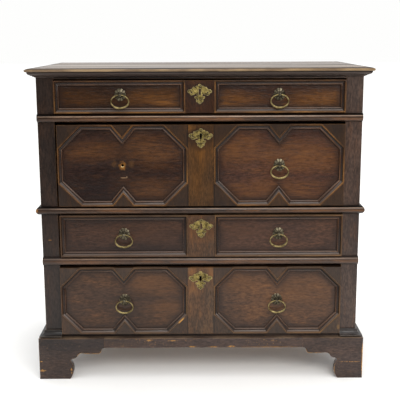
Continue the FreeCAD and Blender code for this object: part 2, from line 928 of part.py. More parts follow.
def make_aprons():
    up = ("apron_clearance", "plinth_top")
    across = ("left_foot_width + bracket_run - plinth_outside",
              "plinth_outside - right_foot_width - bracket_run")
    sub_part("front_apron", [board("front_apron_board", across,
                                   ("case_front - plinth_thickness", "case_front"), up)])
    along = ("case_front - plinth_thickness + side_foot_width + bracket_run",
             "case_back - side_foot_width - bracket_run")
    sub_part("side_aprons", [board(f"side_apron_{SIDE_NAMES[side]}",
                                   span(side, "half_case", "plinth_outside"), along, up)
                             for side in SIDES])


def make_corner_blocks():
    blocks = []
    for side in SIDES:
        across = span(side, "half_case - block_width", "half_case")
        blocks.append(board(f"front_block_{SIDE_NAMES[side]}", across,
                            ("case_front", "case_front + block_width"), ("0", "apron_clearance")))
        rear = "case_back - plinth_thickness"
        blocks.append(board(f"rear_block_{SIDE_NAMES[side]}", across,
                            (f"{rear} - block_width", rear), ("0", "apron_clearance")))
    sub_part("corner_blocks", blocks)


# Drawers

def tails(number, side, use):
    """The dovetails of one drawer side, let into the back of the drawer front."""
    end = f"front{number}_right" if side == RIGHT else f"-front{number}_left"
    across = span(side, f"{end} - side_thickness", end)
    count = TAIL_COUNTS[number]
    wedges = []
    for index in range(count):
        share = (index + 0.5) / count
        middle = f"(box{number}_low + {share} * (box{number}_high - box{number}_low))"
        tail = doc.addObject("Part::Wedge", f"drawer_{number}_{SIDE_NAMES[side]}_{use}_{index + 1}")
        limits = {
            "Ymin": "case_front + tail_lap",
            "Ymax": "front_back",
            "Xmin": across[0],
            "Xmax": across[1],
            "X2min": across[0],
            "X2max": across[1],
            "Zmin": f"{middle} - tail_root / 2 - tail_flare",
            "Zmax": f"{middle} + tail_root / 2 + tail_flare",
            "Z2min": f"{middle} - tail_root / 2",
            "Z2max": f"{middle} + tail_root / 2",
        }
        for limit, expression in limits.items():
            tail.setExpression(limit, bound(expression))
        wedges.append(tail)
    return wedges


def keyhole(name, number, along):
    """A keyhole: a round head over a slot, through a stretch of depth."""
    middle = f"front{number}_middle"
    low, high = along
    head_height = f"key{number}_height + key_head_rise"
    head = rod(f"{name}_head", "y", "key_head_radius", f"({high}) - ({low})", (middle, low, head_height))
    slot = board(f"{name}_slot", (f"{middle} - key_slot_width / 2", f"{middle} + key_slot_width / 2"),
                 along, (f"key{number}_height - key_slot_drop", head_height))
    return joined(name, [head, slot])


def pull_place(number, side):
    """Where a pull is fixed, across and up."""
    return f"front{number}_middle + {side} * pull_spacing", f"pull{number}_height"


def make_drawer_front(number):
    blank = board(f"drawer_{number}_blank", (f"front{number}_left", f"front{number}_right"),
                  ("case_front", "front_back"), (f"front{number}_low", f"front{number}_high"))
    tools = [board(f"drawer_{number}_rebate", (f"front{number}_left", f"front{number}_right"),
                   ("front_back - bottom_rebate", "front_back"), (f"front{number}_low", f"box{number}_low"))]
    for side in SIDES:
        tools += tails(number, side, "socket")
        across, height = pull_place(number, side)
        tools.append(rod(f"drawer_{number}_{SIDE_NAMES[side]}_hole", "y", "pull_hole_radius",
                         "front_thickness", (across, "case_front", height)))
    if number in LOCKED:
        tools.append(keyhole(f"drawer_{number}_keyhole", number, ("case_front", "front_back")))
    sub_part(f"drawer_{number}_front", [cut(f"drawer_{number}_front_board", blank, tools)])


def make_drawer_box(number):
    along = ("front_back", "drawer_rear")
    boards = []
    for side in SIDES:
        name = f"drawer_{number}_{SIDE_NAMES[side]}_side"
        end = f"front{number}_right" if side == RIGHT else f"-front{number}_left"
        plank = board(f"{name}_plank", span(side, f"{end} - side_thickness", end), along,
                      (f"box{number}_low", f"box{number}_high"))
        groove = board(f"{name}_groove", span(side, f"{end} - runner_groove", end), along,
                       (f"runner{number}_low - runner_play", f"runner{number}_high + runner_play"))
        with_tails = joined(f"{name}_with_tails", [plank] + tails(number, side, "tail"))
        boards.append(cut(name, with_tails, [groove]))
    boards.append(board(f"drawer_{number}_back",
                        (f"front{number}_left + side_thickness", f"front{number}_right - side_thickness"),
                        ("drawer_rear - back_thickness", "drawer_rear"),
                        (f"box{number}_low", f"front{number}_high - back_drop")))
    sub_part(f"drawer_{number}_box", boards)
    bottom = board(f"drawer_{number}_bottom_board", (f"front{number}_left", f"front{number}_right"),
                   ("front_back - bottom_rebate", "drawer_rear"),
                   (f"front{number}_low + bottom_rise", f"box{number}_low"))
    sub_part(f"drawer_{number}_bottom", [bottom])


# Applied mouldings and plates

def panel_moulding_steps():
    """The profile of the applied moulding: fillet, cove and bead, from its outer edge inwards."""
    fillet = value("fillet_width")
    cove = value("cove_radius")
    bead = value("bead_radius")
    spring = value("bead_spring")
    height = value("moulding_height")
    width = value("moulding_width")
    return [
        ((0, height),),
        ((fillet, height),),
        ((fillet, spring + cove),),
        ((fillet + cove * ROUND_OFF, spring + cove * ROUND_OFF), (fillet + cove, spring)),
        ((fillet + cove + bead, spring + bead), (width, spring)),
        ((width, 0),),
        ((0, 0),),
    ]


def panel_cell(number, side):
    """The half of a drawer front that one panel fills: its low and high X and Z."""
    middle = value(f"front{number}_middle")
    half_plate = value(f"drawer{number}_middle_plate") / 2
    heights = value(f"front{number}_low"), value(f"front{number}_high")
    if side == LEFT:
        return (value(f"front{number}_left"), middle - half_plate), heights
    return (middle + half_plate, value(f"front{number}_right")), heights


def panel_outline(number, side):
    """The corners of a panel, anticlockwise seen from the front, and of the plates around it."""
    (left, right), (low, high) = panel_cell(number, side)
    if number in PANELLED_PLAIN:
        return [(left, low), (right, low), (right, high), (left, high)], []
    facet = value(f"drawer{number}_facet")
    middle = (left + right) / 2
    notch = value("notch_half_width")
    depth = value("notch_depth")
    outline = [
        (left + facet, low), (middle - notch, low), (middle, low + depth), (middle + notch, low),
        (right - facet, low), (right, low + facet), (right, high - facet), (right - facet, high),
        (middle + notch, high), (middle, high - depth), (middle - notch, high),
        (left + facet, high), (left, high - facet), (left, low + facet),
    ]
    plates = [
        [(left, high - facet), (left, high), (left + facet, high)],
        [(middle - notch, high), (middle + notch, high), (middle, high - depth)],
        [(right - facet, high), (right, high), (right, high - facet)],
        [(right, low + facet), (right, low), (right - facet, low)],
        [(middle + notch, low), (middle - notch, low), (middle, low + depth)],
        [(left + facet, low), (left, low), (left, low + facet)],
    ]
    return outline, plates


def on_field(points):
    """Points of a drawer's face, on the plane of its field."""
    return [Vector(across, value("case_front"), rise) for across, rise in points]


def make_applied_work(number):
    strips = []
    plates = []
    for side in SIDES:
        outline, corners = panel_outline(number, side)
        strips += moulding_strips(on_field(outline), True, FORWARD, value("moulding_width"),
                                  value("moulding_height"), (0, 0), panel_moulding_steps())
        plates += [polygon_prism(on_field(corner), FORWARD * value("plate_height")) for corner in corners]
    sub_part(f"drawer_{number}_mouldings",
             [shaped(f"drawer_{number}_strip_{index}", strip) for index, strip in enumerate(strips)])

    half = f"drawer{number}_middle_plate / 2"
    middle = f"front{number}_middle"
    blank = board(f"drawer_{number}_middle_blank", (f"{middle} - {half}", f"{middle} + {half}"),
                  ("plate_face", "case_front"), (f"front{number}_low", f"front{number}_high"))
    tools = [escutcheon_pin_hole(f"drawer_{number}_pilot_{index}", number, place,
                                 "plate_face", "pin_length + pin_play")
             for index, place in enumerate(PIN_PLACES)]
    if number in LOCKED:
        tools.append(keyhole(f"drawer_{number}_plate_keyhole", number, ("plate_face", "case_front")))
    middle_plate = cut(f"drawer_{number}_middle_plate", blank, tools)
    triangles = [shaped(f"drawer_{number}_plate_{index}", plate) for index, plate in enumerate(plates)]
    sub_part(f"drawer_{number}_plates", [middle_plate] + triangles)


# Escutcheons and locks

# Half of the escutcheon's outline, from the knob at its top to the point at its foot, about the keyhole.
ESCUTCHEON_TOP = (0, 21.5)
ESCUTCHEON_HALF = [
    ((4.6, 19.5), (5, 15.5)),
    ((10, 16.6), (14, 13)),
    ((20, 12), (22, 6.5)),
    ((25.5, 7),),
    ((31, 6), (34.5, 1)),
    ((32, -3), (27.5, -4.5)),
    ((25.5, -9), (20, -9.8)),
    ((13.2, -7.4),),
    ((7.9, -8.2), (12.3, -12.2)),
    ((14.2, -12.8),),
    ((14, -17.5), (10.2, -19.6)),
    ((9.8, -22.5),),
    ((9.6, -27.2), (5, -29)),
    ((3, -33), (0, -34.2)),
    (ESCUTCHEON_TOP,),
]
PIN_PLACES = [(0, 17), (29.3, 1.2), (-29.3, 1.2), (0, -29.8)]
PIERCINGS = [(6.2, -20.5), (-6.2, -20.5), (22.5, -2), (-22.5, -2)]


def escutcheon_pin_hole(name, number, place, start, depth):
    """A hole for one of the pins that hold an escutcheon."""
    across, rise = place
    return rod(name, "y", "pin_radius + pin_play", depth,
               (f"front{number}_middle + {across}", start, f"key{number}_height + {rise}"))


def make_escutcheon(number):
    middle = value(f"front{number}_middle")
    height = value(f"key{number}_height")
    face = value("plate_face")
    thickness = value("escutcheon_thickness")
    half = prism(ESCUTCHEON_TOP, ESCUTCHEON_HALF, lambda across, rise: Vector(across, 0, rise),
                 FORWARD * thickness)
    both = half.fuse(half.mirror(Vector(), Vector(1, 0, 0))).removeSplitter().Solids[0]
    blank = shaped(f"escutcheon_{number}_blank", both, Placement(Vector(middle, face, height), Rotation()))

    start = "plate_face - escutcheon_thickness"
    tools = [escutcheon_pin_hole(f"escutcheon_{number}_pin_hole_{index}", number, place,
                                 start, "escutcheon_thickness")
             for index, place in enumerate(PIN_PLACES)]
    tools += [rod(f"escutcheon_{number}_piercing_{index}", "y", "piercing_radius", "escutcheon_thickness",
                  (f"front{number}_middle + {across}", start, f"key{number}_height + {rise}"))
              for index, (across, rise) in enumerate(PIERCINGS)]
    if number in LOCKED:
        tools.append(keyhole(f"escutcheon_{number}_keyhole", number, (start, "plate_face")))
    else:
        key_middle = f"front{number}_middle"
        tools.append(board(f"escutcheon_{number}_slot",
                           (f"{key_middle} - blind_slot_width / 2", f"{key_middle} + blind_slot_width / 2"),
                           (start, "plate_face"),
                           (f"key{number}_height - blind_slot_height / 2",
                            f"key{number}_height + blind_slot_height / 2")))
    plate = cut(f"escutcheon_{number}_plate", blank, tools)
    pins = [escutcheon_pin(f"escutcheon_{number}_pin_{index}", number, place)
            for index, place in enumerate(PIN_PLACES)]
    sub_part(f"drawer_{number}_escutcheon", [plate] + pins)


def escutcheon_pin(name, number, place):
    """A round-headed pin through the escutcheon into the wood."""
    across, rise = place
    centre = (f"front{number}_middle + {across}", "plate_face - escutcheon_thickness",
              f"key{number}_height + {rise}")
    dome = ball(f"{name}_dome", "pin_head_radius", centre)
    front = board(f"{name}_front",
                  (f"{centre[0]} - pin_head_radius", f"{centre[0]} + pin_head_radius"),
                  (f"{centre[1]} - pin_head_radius", centre[1]),
                  (f"{centre[2]} - pin_head_radius", f"{centre[2]} + pin_head_radius"))
    head = doc.addObject("Part::Common", f"{name}_head")
    head.Base = dome
    head.Tool = front
    shank = rod(f"{name}_shank", "y", "pin_radius", "escutcheon_thickness + pin_length", centre)
    return joined(name, [head, shank])


def make_lock(number):
    middle = f"front{number}_middle"
    top = f"front{number}_high - lock_inset"
    body = board(f"lock_{number}_case", (f"{middle} - lock_width / 2", f"{middle} + lock_width / 2"),
                 ("front_back", "lock_back"), (f"{top} - lock_height", top))
    half = "bolt_width / 2"
    channel = board(f"lock_{number}_channel",
                    (f"{middle} - {half} - bolt_play", f"{middle} + {half} + bolt_play"),
                    ("bolt_front - bolt_play", "bolt_back + bolt_play"),
                    (f"{top} - bolt_length - bolt_play", top))
    pocket = keyhole(f"lock_{number}_keyhole", number, ("front_back", "front_back + key_pocket"))
    sub_part(f"drawer_{number}_lock", [cut(f"lock_{number}_body", body, [channel, pocket])])
    bolt = board(f"lock_{number}_bolt", (f"{middle} - {half}", f"{middle} + {half}"),
                 ("bolt_front", "bolt_back"), (f"{top} - bolt_length", top))
    sub_part(f"drawer_{number}_lock_bolt", [bolt])


# Ring pulls

def rose_shape():
    """A crowned brass plate with a scalloped edge, its back on the origin's plane."""
    half_width = value("rose_half_width")
    half_height = value("rose_half_height")
    scallop = value("rose_scallop")
    crown = value("rose_crown")
    thickness = crown + value("rose_edge")

    def rim(turn, swell):
        angle = 2 * math.pi * turn / ROSE_LOBES
        return (half_width + swell) * math.sin(angle), (half_height + swell) * math.cos(angle)

    steps = [(rim(lobe + 0.5, scallop), rim(lobe + 1, 0)) for lobe in range(ROSE_LOBES)]
    steps[-1] = (steps[-1][0], rim(0, 0))
    plate = prism(rim(0, 0), steps, lambda across, rise: Vector(across, 0, rise), FORWARD * thickness)
    reach = half_height + scallop
    radius = (reach ** 2 + crown ** 2) / (2 * crown)
    dome = Part.makeSphere(radius, Vector(0, radius - thickness, 0))
    hole = Part.makeCylinder(value("shank_radius") + value("rose_play"), thickness, Vector(), FORWARD)
    return plate.common(dome).cut(hole).Solids[0]


def make_pull_mounts(number):
    members = []
    rose = rose_shape()
    for side in PULLS[number]:
        name = f"pull_{number}_{SIDE_NAMES[side]}"
        across, height = pull_place(number, side)
        place = Vector(value_of(across), value("case_front"), value(height))
        members.append(shaped(f"{name}_rose", rose, Placement(place, Rotation())))

        head = ball(f"{name}_ball", "eye_ball_radius", (across, "eye_plane", height))
        crown = "case_front - rose_edge - rose_crown"
        neck = rod(f"{name}_neck", "y", "eye_neck_radius", f"{crown} - eye_plane",
                   (across, "eye_plane", height))
        shank = rod(f"{name}_shank", "y", "shank_radius", "front_back + cotter_thickness - eye_plane",
                    (across, "eye_plane", height))
        cotter = board(f"{name}_cotter", (f"{across} - cotter_length / 2", f"{across} + cotter_length / 2"),
                       ("front_back", "front_back + cotter_thickness"),
                       (f"{height} - cotter_width / 2", f"{height} + cotter_width / 2"))
        eye = rod(f"{name}_eye_hole", "x", "eye_radius", "2 * eye_ball_radius",
                  (f"{across} - eye_ball_radius", "eye_plane", height))
        members.append(cut(f"{name}_eye", joined(f"{name}_eye_blank", [head, neck, shank, cotter]), [eye]))
    sub_part(f"drawer_{number}_pull_mounts", members)


def ring_shape():
    """An oval drop ring that swells towards the bottom, hung from the origin."""
    half_width = value("ring_half_width")
    half_height = value("ring_height") / 2
    thin = value("ring_thin_radius")
    thick = value("ring_thick_radius")
    swell_start = math.radians(value("ring_swell_start"))
    swell_end = math.radians(value("ring_swell_end"))
    bead_turn = math.radians(value("ring_bead_angle"))

    def place(turn):
        return Vector(half_width * math.sin(turn), 0, half_height * (math.cos(turn) - 1))

    def ahead(turn):
        return Vector(half_width * math.cos(turn), 0, -half_height * math.sin(turn)).normalize()

    def radius(turn):
        share = min(max((turn - swell_start) / (swell_end - swell_start), 0), 1)
        return thin + (thick - thin) * share * share * (3 - 2 * share)

    turns = [math.pi * station / RING_STATIONS for station in range(RING_STATIONS + 1)]
    circles = [Part.Wire(Part.makeCircle(radius(turn), place(turn), ahead(turn))) for turn in turns]
    half = Part.makeLoft(circles, True, False)
    bead = Part.makeTorus(radius(bead_turn), value("ring_bead_radius"), place(bead_turn), ahead(bead_turn))
    half = half.fuse(bead)
    return half.fuse(half.mirror(Vector(), Vector(1, 0, 0))).Solids[0]


def make_rings():
    ring = ring_shape()
    for number in DRAWERS:
        for side in PULLS[number]:
            across, height = pull_place(number, side)
            place = Vector(value_of(across), value("eye_plane"), value(height))
            name = f"drawer_{number}_{SIDE_NAMES[side]}_ring"
            sub_part(name, [shaped(f"{name}_solid", ring, Placement(place, Rotation()))])


# The whole chest

make_posts()
make_front_rails()
make_side_rails()
make_side_panels()
make_rear_rails()
make_back_boards()
make_section_dowels()
make_runners()
make_top_board()
make_bed_moulding()
make_rail_mouldings()
make_waist_moulding()
make_base_moulding()
make_brackets()
make_aprons()
make_corner_blocks()
for number in DRAWERS:
    make_drawer_front(number)
    make_drawer_box(number)
    make_applied_work(number)
    make_escutcheon(number)
    make_pull_mounts(number)
for number in LOCKED:
    make_lock(number)
make_rings()

doc.recompute()
for item in doc.Objects:
    if "Invalid" in item.State or "Error" in item.State:
        raise RuntimeError(f"{item.Name} did not compute: {item.State}")
for item in sub_parts:
    if item.Shape.isNull() or not item.Shape.isValid():
        raise RuntimeError(f"{item.Label} has no valid shape")

os.makedirs("parts", exist_ok=True)
for item in sub_parts:
    item.Shape.exportStep(f"parts/{item.Label}.step")
print(len(sub_parts), "sub-parts", sum(len(item.Shape.Solids) for item in sub_parts), "solids")
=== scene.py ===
import json
import math

import bpy
from mathutils import Matrix, Vector


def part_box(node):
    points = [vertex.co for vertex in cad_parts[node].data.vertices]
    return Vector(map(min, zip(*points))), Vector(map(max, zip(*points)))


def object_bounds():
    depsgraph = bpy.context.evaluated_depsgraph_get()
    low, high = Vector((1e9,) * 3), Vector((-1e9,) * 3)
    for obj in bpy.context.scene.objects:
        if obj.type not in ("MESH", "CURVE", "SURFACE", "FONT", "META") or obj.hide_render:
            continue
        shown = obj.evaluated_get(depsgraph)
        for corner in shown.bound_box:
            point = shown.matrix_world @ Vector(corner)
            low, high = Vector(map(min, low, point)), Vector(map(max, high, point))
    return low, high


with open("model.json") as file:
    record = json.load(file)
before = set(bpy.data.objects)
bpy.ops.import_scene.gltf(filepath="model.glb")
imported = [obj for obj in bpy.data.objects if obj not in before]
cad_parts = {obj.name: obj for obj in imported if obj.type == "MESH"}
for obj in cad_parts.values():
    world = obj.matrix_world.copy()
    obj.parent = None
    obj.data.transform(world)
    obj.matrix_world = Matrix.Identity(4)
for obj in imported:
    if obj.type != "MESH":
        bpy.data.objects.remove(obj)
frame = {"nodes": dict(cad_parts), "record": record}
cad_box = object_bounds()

# Looks of the oak chest: worn waxed oak, old brass, iron, a pale studio and the photograph's camera.
# Metres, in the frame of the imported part: X to the right, the front faces -Y, Z up from the floor.

MM = 0.001
DRAWERS = (1, 2, 3, 4)
LOCKED_DRAWERS = (2, 4)
EMPTY_HOLE_DRAWER = 2
CHIPPED_DRAWER = 4
# Width of the middle plate and leg of the corner facets of each drawer, and the notches of the panels
PLATE_WIDTH = {1: 82 * MM, 2: 75 * MM, 3: 78 * MM, 4: 78 * MM}
FACET = {1: 0, 2: 66 * MM, 3: 0, 4: 57 * MM}
NOTCH_HALF_WIDTH = 29 * MM
NOTCH_DEPTH = 35 * MM
# Applied mouldings, measured inward from the outline of their panel
MOULDING_WIDTH = 14 * MM
FILLET_WIDTH = 3 * MM
BEAD_START = 9.5 * MM
BEAD_CREST = 11.8 * MM
# Where the upper section of the case stands on the lower one
SECTION_JOINT = 510.5 * MM
BACK_BOARDS_PER_SECTION = 3
# Pulls: distance from the middle of the drawer, height, and the lobes and sunk ring of the rose plate
PULL_SPACING = 224 * MM
PULL_HEIGHT = {1: 842 * MM, 2: 641 * MM, 3: 440 * MM, 4: 240 * MM}
ROSE_LOBES = 10
ROSE_RING = 7 * MM
# Half width and height, in mm, of the painted shade in a keyhole and of the darkening round an escutcheon
KEYHOLE_RADII = (3.6, 8.4)
KEY_DARKENING_RADII = (37, 32)
# Marks of wear on the front: centre and radii in mm, across and up
POST_SCAR = ((-438, 422), (5, 1.2))
WAIST_CHIP = ((-471, 511), (4, 5))
MOULDING_CHIP = ((-58, 179), (11, 10))
PLATE_CHIP = ((409, 157), (6, 7))
# The hole of the lost pull, and the scratches where its ring hung, each with its strength
EMPTY_HOLE = (-221.5, 641)
RING_SCRATCHES = [((-219, 605), (9.5, 1.1), 0.7), ((-210, 607.5), (1.1, 3), 0.6)]
# How alike the rounded and the true normal are on a flat face, and on a full edge
FLAT_LIKENESS = 0.995
EDGE_LIKENESS = 0.93


def srgb(red, green, blue):
    """A colour given as it looks on a screen, from 0 to 255, in the linear values that shaders use."""
    def linear(part):
        share = part / 255
        return share / 12.92 if share <= 0.04045 else ((share + 0.055) / 1.055) ** 2.4
    return (linear(red), linear(green), linear(blue), 1.0)


class Paint:
    """A material, with short calls for the nodes that give its colour, gloss and relief."""

    def __init__(self, name, seed=0.0):
        self.material = bpy.data.materials.new(name)
        self.material.use_nodes = True
        self.tree = self.material.node_tree
        self.shader = self.tree.nodes["Principled BSDF"]
        self.seed = seed
        self.place = self.node("ShaderNodeTexCoord").outputs["Object"]
        self.x, self.y, self.z = self.node("ShaderNodeSeparateXYZ", {"Vector": self.place}).outputs
        self.facing = self.node("ShaderNodeNewGeometry").outputs["Normal"]
        turned = self.node("ShaderNodeSeparateXYZ", {"Vector": self.facing})
        self.backward = turned.outputs["Y"]
        self.upward = turned.outputs["Z"]
        self.colour = None
        self.rough = None
        self.relief = []

    def feed(self, socket, content):
        """Link a socket to another one, or set it to a constant."""
        if isinstance(content, bpy.types.NodeSocket):
            self.tree.links.new(content, socket)
        else:
            socket.default_value = content

    def node(self, kind, inputs=None, **settings):
        made = self.tree.nodes.new(kind)
        for name, choice in settings.items():
            setattr(made, name, choice)
        for key, content in (inputs or {}).items():
            self.feed(made.inputs[key], content)
        return made

    def calc(self, operation, *terms):
        made = self.node("ShaderNodeMath", dict(enumerate(terms)), operation=operation)
        return made.outputs[0]

    def times(self, *factors):
        product = factors[0]
        for factor in factors[1:]:
            product = self.calc("MULTIPLY", product, factor)
        return product

    def largest(self, *values):
        best = values[0]
        for value in values[1:]:
            best = self.calc("MAXIMUM", best, value)
        return best

    def smallest(self, *values):
        best = values[0]
        for value in values[1:]:
            best = self.calc("MINIMUM", best, value)
        return best

    def away(self, value, middle):
        """The distance of a value from a middle."""
        return self.calc("ABSOLUTE", self.calc("SUBTRACT", value, middle))

    def fade(self, value, start, end):
        """0 at start and 1 at end, with a smooth change between them."""
        made = self.node("ShaderNodeMapRange", {"Value": value, "From Min": start, "From Max": end},
                         interpolation_type="SMOOTHSTEP")
        return made.outputs["Result"]

    def scale(self, value, low, high):
        """A share from 0 to 1 stretched to run from low to high."""
        return self.calc("MULTIPLY_ADD", value, high - low, low)

    def mix(self, share, first, second):
        """The first colour where the share is 0, and the second where it is 1."""
        made = self.node("ShaderNodeMix", {0: share, 6: first, 7: second}, data_type="RGBA")
        return made.outputs[2]

    def tint(self, share, colour):
        """Lay a colour over what is there."""
        self.colour = self.mix(share, self.colour, colour)

    def shade(self, factor):
        """Make what is there lighter or darker."""
        made = self.node("ShaderNodeVectorMath", {0: self.colour, "Scale": factor}, operation="SCALE")
        self.colour = made.outputs["Vector"]

    def noise(self, stretch, detail=3.0, roughness=0.5, distortion=0.0, offset=0.0):
        """Noise with so many features to the metre along X, Y and Z."""
        place = self.node("ShaderNodeVectorMath", {0: self.place, 1: stretch}, operation="MULTIPLY")
        made = self.node("ShaderNodeTexNoise",
                         {"Vector": place.outputs["Vector"], "W": self.seed + offset, "Scale": 1.0,
                          "Detail": detail, "Roughness": roughness, "Distortion": distortion},
                         noise_dimensions="4D")
        return made.outputs["Fac"]

    def rightward(self):
        """0 over the left panels of the drawers and 1 over the right ones."""
        return self.fade(self.x, -200 * MM, 200 * MM)

    def spot(self, centre, radii, ragged=0.5, soft=0.3):
        """1 inside an ellipse of the front, fading at its edge. Centre and radii are in mm, across and up."""
        across = self.times(self.calc("SUBTRACT", self.x, centre[0] * MM), 1 / (radii[0] * MM))
        up = self.times(self.calc("SUBTRACT", self.z, centre[1] * MM), 1 / (radii[1] * MM))
        reach = self.calc("SQRT", self.calc("ADD", self.times(across, across), self.times(up, up)))
        fineness = (1.5 / (radii[0] * MM), 60, 1.5 / (radii[1] * MM))
        ruffle = self.scale(self.noise(fineness, detail=4.0, offset=centre[0]), -ragged, ragged)
        return self.fade(self.calc("ADD", reach, ruffle), 1.0 + soft, 1.0 - soft)

    def edge(self, radius):
        """1 along sharp edges, out to about a radius."""
        rounded = self.node("ShaderNodeBevel", {"Radius": radius}, samples=6).outputs["Normal"]
        likeness = self.node("ShaderNodeVectorMath", {0: rounded, 1: self.facing}, operation="DOT_PRODUCT")
        return self.fade(likeness.outputs["Value"], FLAT_LIKENESS, EDGE_LIKENESS)

    def arris(self, radius, offset=0.0):
        """1 along sharp edges, broken up as wear is."""
        patchy = self.fade(self.noise((22, 22, 22), detail=5.0, offset=offset), 0.36, 0.6)
        return self.times(self.edge(radius), patchy)

    def bump(self, height, distance):
        """Raise the surface by a distance where the height is 1."""
        self.relief.append((height, distance))

    def done(self):
        """Join colour, gloss and relief to the shader."""
        self.feed(self.shader.inputs["Base Color"], self.colour)
        self.feed(self.shader.inputs["Roughness"], self.rough)
        normal = None
        for height, distance in self.relief:
            made = self.node("ShaderNodeBump", {"Height": height, "Distance": distance, "Strength": 1.0})
            if normal is not None:
                self.feed(made.inputs["Normal"], normal)
            normal = made.outputs["Normal"]
        if normal is not None:
            self.feed(self.shader.inputs["Normal"], normal)
        return self.material


# Oak

WORN = srgb(150, 104, 52)
RAW = srgb(176, 128, 68)
# Near black, for pores, joints and dirt, and for painted shade in the quirks of the mouldings
SOOT_AND_SHADE = srgb(34, 27, 25)


def along_grain(grain, along, across):
    """The stretch of a noise whose features differ along the grain and across it."""
    return tuple(along if axis == grain else across for axis in "xyz")


def oak(name, grain, deep, mid, warm, seed, warmth=0.5, length=1.0, contrast=1.0):
    """Old waxed oak with its grain along one axis: slow changes of tone, fibres and open pores.

    A length over 1 makes the fibres and pores that much longer, and a contrast under 1 makes them fainter.
    """
    paint = Paint(name, seed)
    clouds = paint.noise(along_grain(grain, 2.5, 8), detail=4.0, roughness=0.55, distortion=0.4)
    glow = paint.noise(along_grain(grain, 4, 14), detail=4.0, roughness=0.6, offset=3.1)
    fibres = paint.noise(along_grain(grain, 85 / length, 290), detail=4.0, roughness=0.65, distortion=0.2,
                         offset=1.7)
    streaks = paint.noise(along_grain(grain, 20 / length, 110), detail=4.0, roughness=0.6, offset=5.3)
    pores = paint.noise(along_grain(grain, 60 / length, 420), detail=2.0, roughness=0.5, offset=8.9)
    paint.colour = paint.mix(paint.fade(clouds, 0.34, 0.66), deep, mid)
    paint.tint(paint.times(paint.fade(glow, 0.44, 0.72), warmth), warm)
    paint.tint(paint.times(paint.fade(streaks, 0.52, 0.7), 0.3), warm)
    paint.shade(paint.scale(paint.fade(fibres, 0.3, 0.7), 1 - 0.5 * contrast, 1 + 0.55 * contrast))
    paint.tint(paint.times(paint.fade(pores, 0.6, 0.7), 0.6 * contrast), SOOT_AND_SHADE)
    paint.rough = paint.scale(paint.noise(along_grain(grain, 6, 40), detail=3.0, offset=7.7), 0.22, 0.4)
    paint.bump(fibres, 0.1 * MM)
    paint.bump(paint.fade(pores, 0.62, 0.54), 0.08 * MM)
    paint.shader.inputs["Specular IOR Level"].default_value = 0.3
    return paint


FRAME_DEEP = srgb(27, 21, 19)
FRAME_MID = srgb(44, 34, 29)
FRAME_WARM = srgb(64, 42, 28)


def frame_oak(name, grain, seed):
    """The dark outer frame of the case, with painted light that makes it a little lighter towards the right.
    """
    paint = oak(name, grain, FRAME_DEEP, FRAME_MID, FRAME_WARM, seed, warmth=0.35)
    # Painted light: lighter towards the right, darker on the left
    paint.shade(paint.scale(paint.fade(paint.x, -300 * MM, 400 * MM), 0.9, 2.2))
    paint.tint(paint.times(paint.arris(1.6 * MM), 0.5), WORN)
    paint.tint(paint.times(paint.spot(*POST_SCAR, ragged=0.2), 0.6), WORN)
    return paint.done()


def case_moulding(name, seed, upper_shadow_reach=0.0):
    """Half-round mouldings: painted shadow against the drawer, a painted highlight line, a rubbed crown
    and painted shade below.

    The lines follow the round by how far each point faces upward. Over the section joint, the last argument
    brings the painted shadow further round.
    """
    paint = oak(name, "x", srgb(36, 26, 20), srgb(64, 43, 28), srgb(96, 62, 34), seed, warmth=0.6)
    upper = paint.fade(paint.z, SECTION_JOINT, SECTION_JOINT + 50 * MM)
    turned = paint.calc("ADD", paint.upward, paint.times(upper, upper_shadow_reach))
    crown = paint.fade(paint.away(turned, -0.05), 0.5, 0.15)
    rubbed = paint.fade(paint.noise((9, 9, 60), detail=4.0, offset=2.2), 0.42, 0.66)
    paint.tint(paint.times(crown, rubbed, 0.5), srgb(118, 74, 36))
    grey_line = paint.fade(paint.away(turned, -0.5), 0.14, 0.06)
    paint.tint(paint.times(grey_line, 0.15), srgb(110, 92, 80))
    # Painted shade on the faces turned downward
    underside_shade = paint.fade(turned, -0.55, -0.8)
    paint.tint(paint.times(underside_shade, 0.9), srgb(24, 18, 16))
    # A painted highlight along the faces turned upward, broken up by noise and dimmer below the section joint
    waxed = paint.scale(paint.fade(paint.noise((20, 20, 20), detail=5.0, offset=3.7), 0.34, 0.6), 0.45, 0.95)
    highlight_line = paint.times(paint.fade(paint.away(turned, 0.55), 0.13, 0.07), paint.scale(upper, 0.6, 0.9))
    paint.tint(paint.times(highlight_line, waxed), srgb(150, 124, 102))
    dark_line = paint.fade(paint.away(turned, 0.3), 0.1, 0.04)
    paint.tint(paint.times(dark_line, 0.4), SOOT_AND_SHADE)
    # Painted shadow on the top of the round, under the edge of the drawer above, dark and without gloss
    gap_shadow = paint.fade(turned, 0.66, 0.76)
    paint.tint(paint.times(gap_shadow, 0.92), srgb(12, 9, 8))
    paint.feed(paint.shader.inputs["Specular IOR Level"], paint.scale(gap_shadow, 0.3, 0.03))
    # Painted shade: darker at the left end, as on the frame there, and a little lighter elsewhere
    paint.shade(paint.scale(paint.fade(paint.x, -440 * MM, -380 * MM), 0.5, 1.1))
    return paint


def rail_moulding_oak():
    """The two rail mouldings. The lower one is greyer."""
    paint = case_moulding("oak_rail_moulding", seed=21.0, upper_shadow_reach=0.22)
    lower = paint.fade(paint.z, SECTION_JOINT + 50 * MM, SECTION_JOINT - 50 * MM)
    paint.tint(paint.times(lower, 0.3), srgb(66, 58, 55))
    return paint.done()


def waist_oak():
    """The waist moulding, worn to bare wood at its left end."""
    paint = case_moulding("oak_waist_moulding", seed=24.0)
    paint.shade(0.92)
    paint.tint(paint.times(paint.spot(*WAIST_CHIP, ragged=0.8), 0.6), WORN)
    return paint.done()


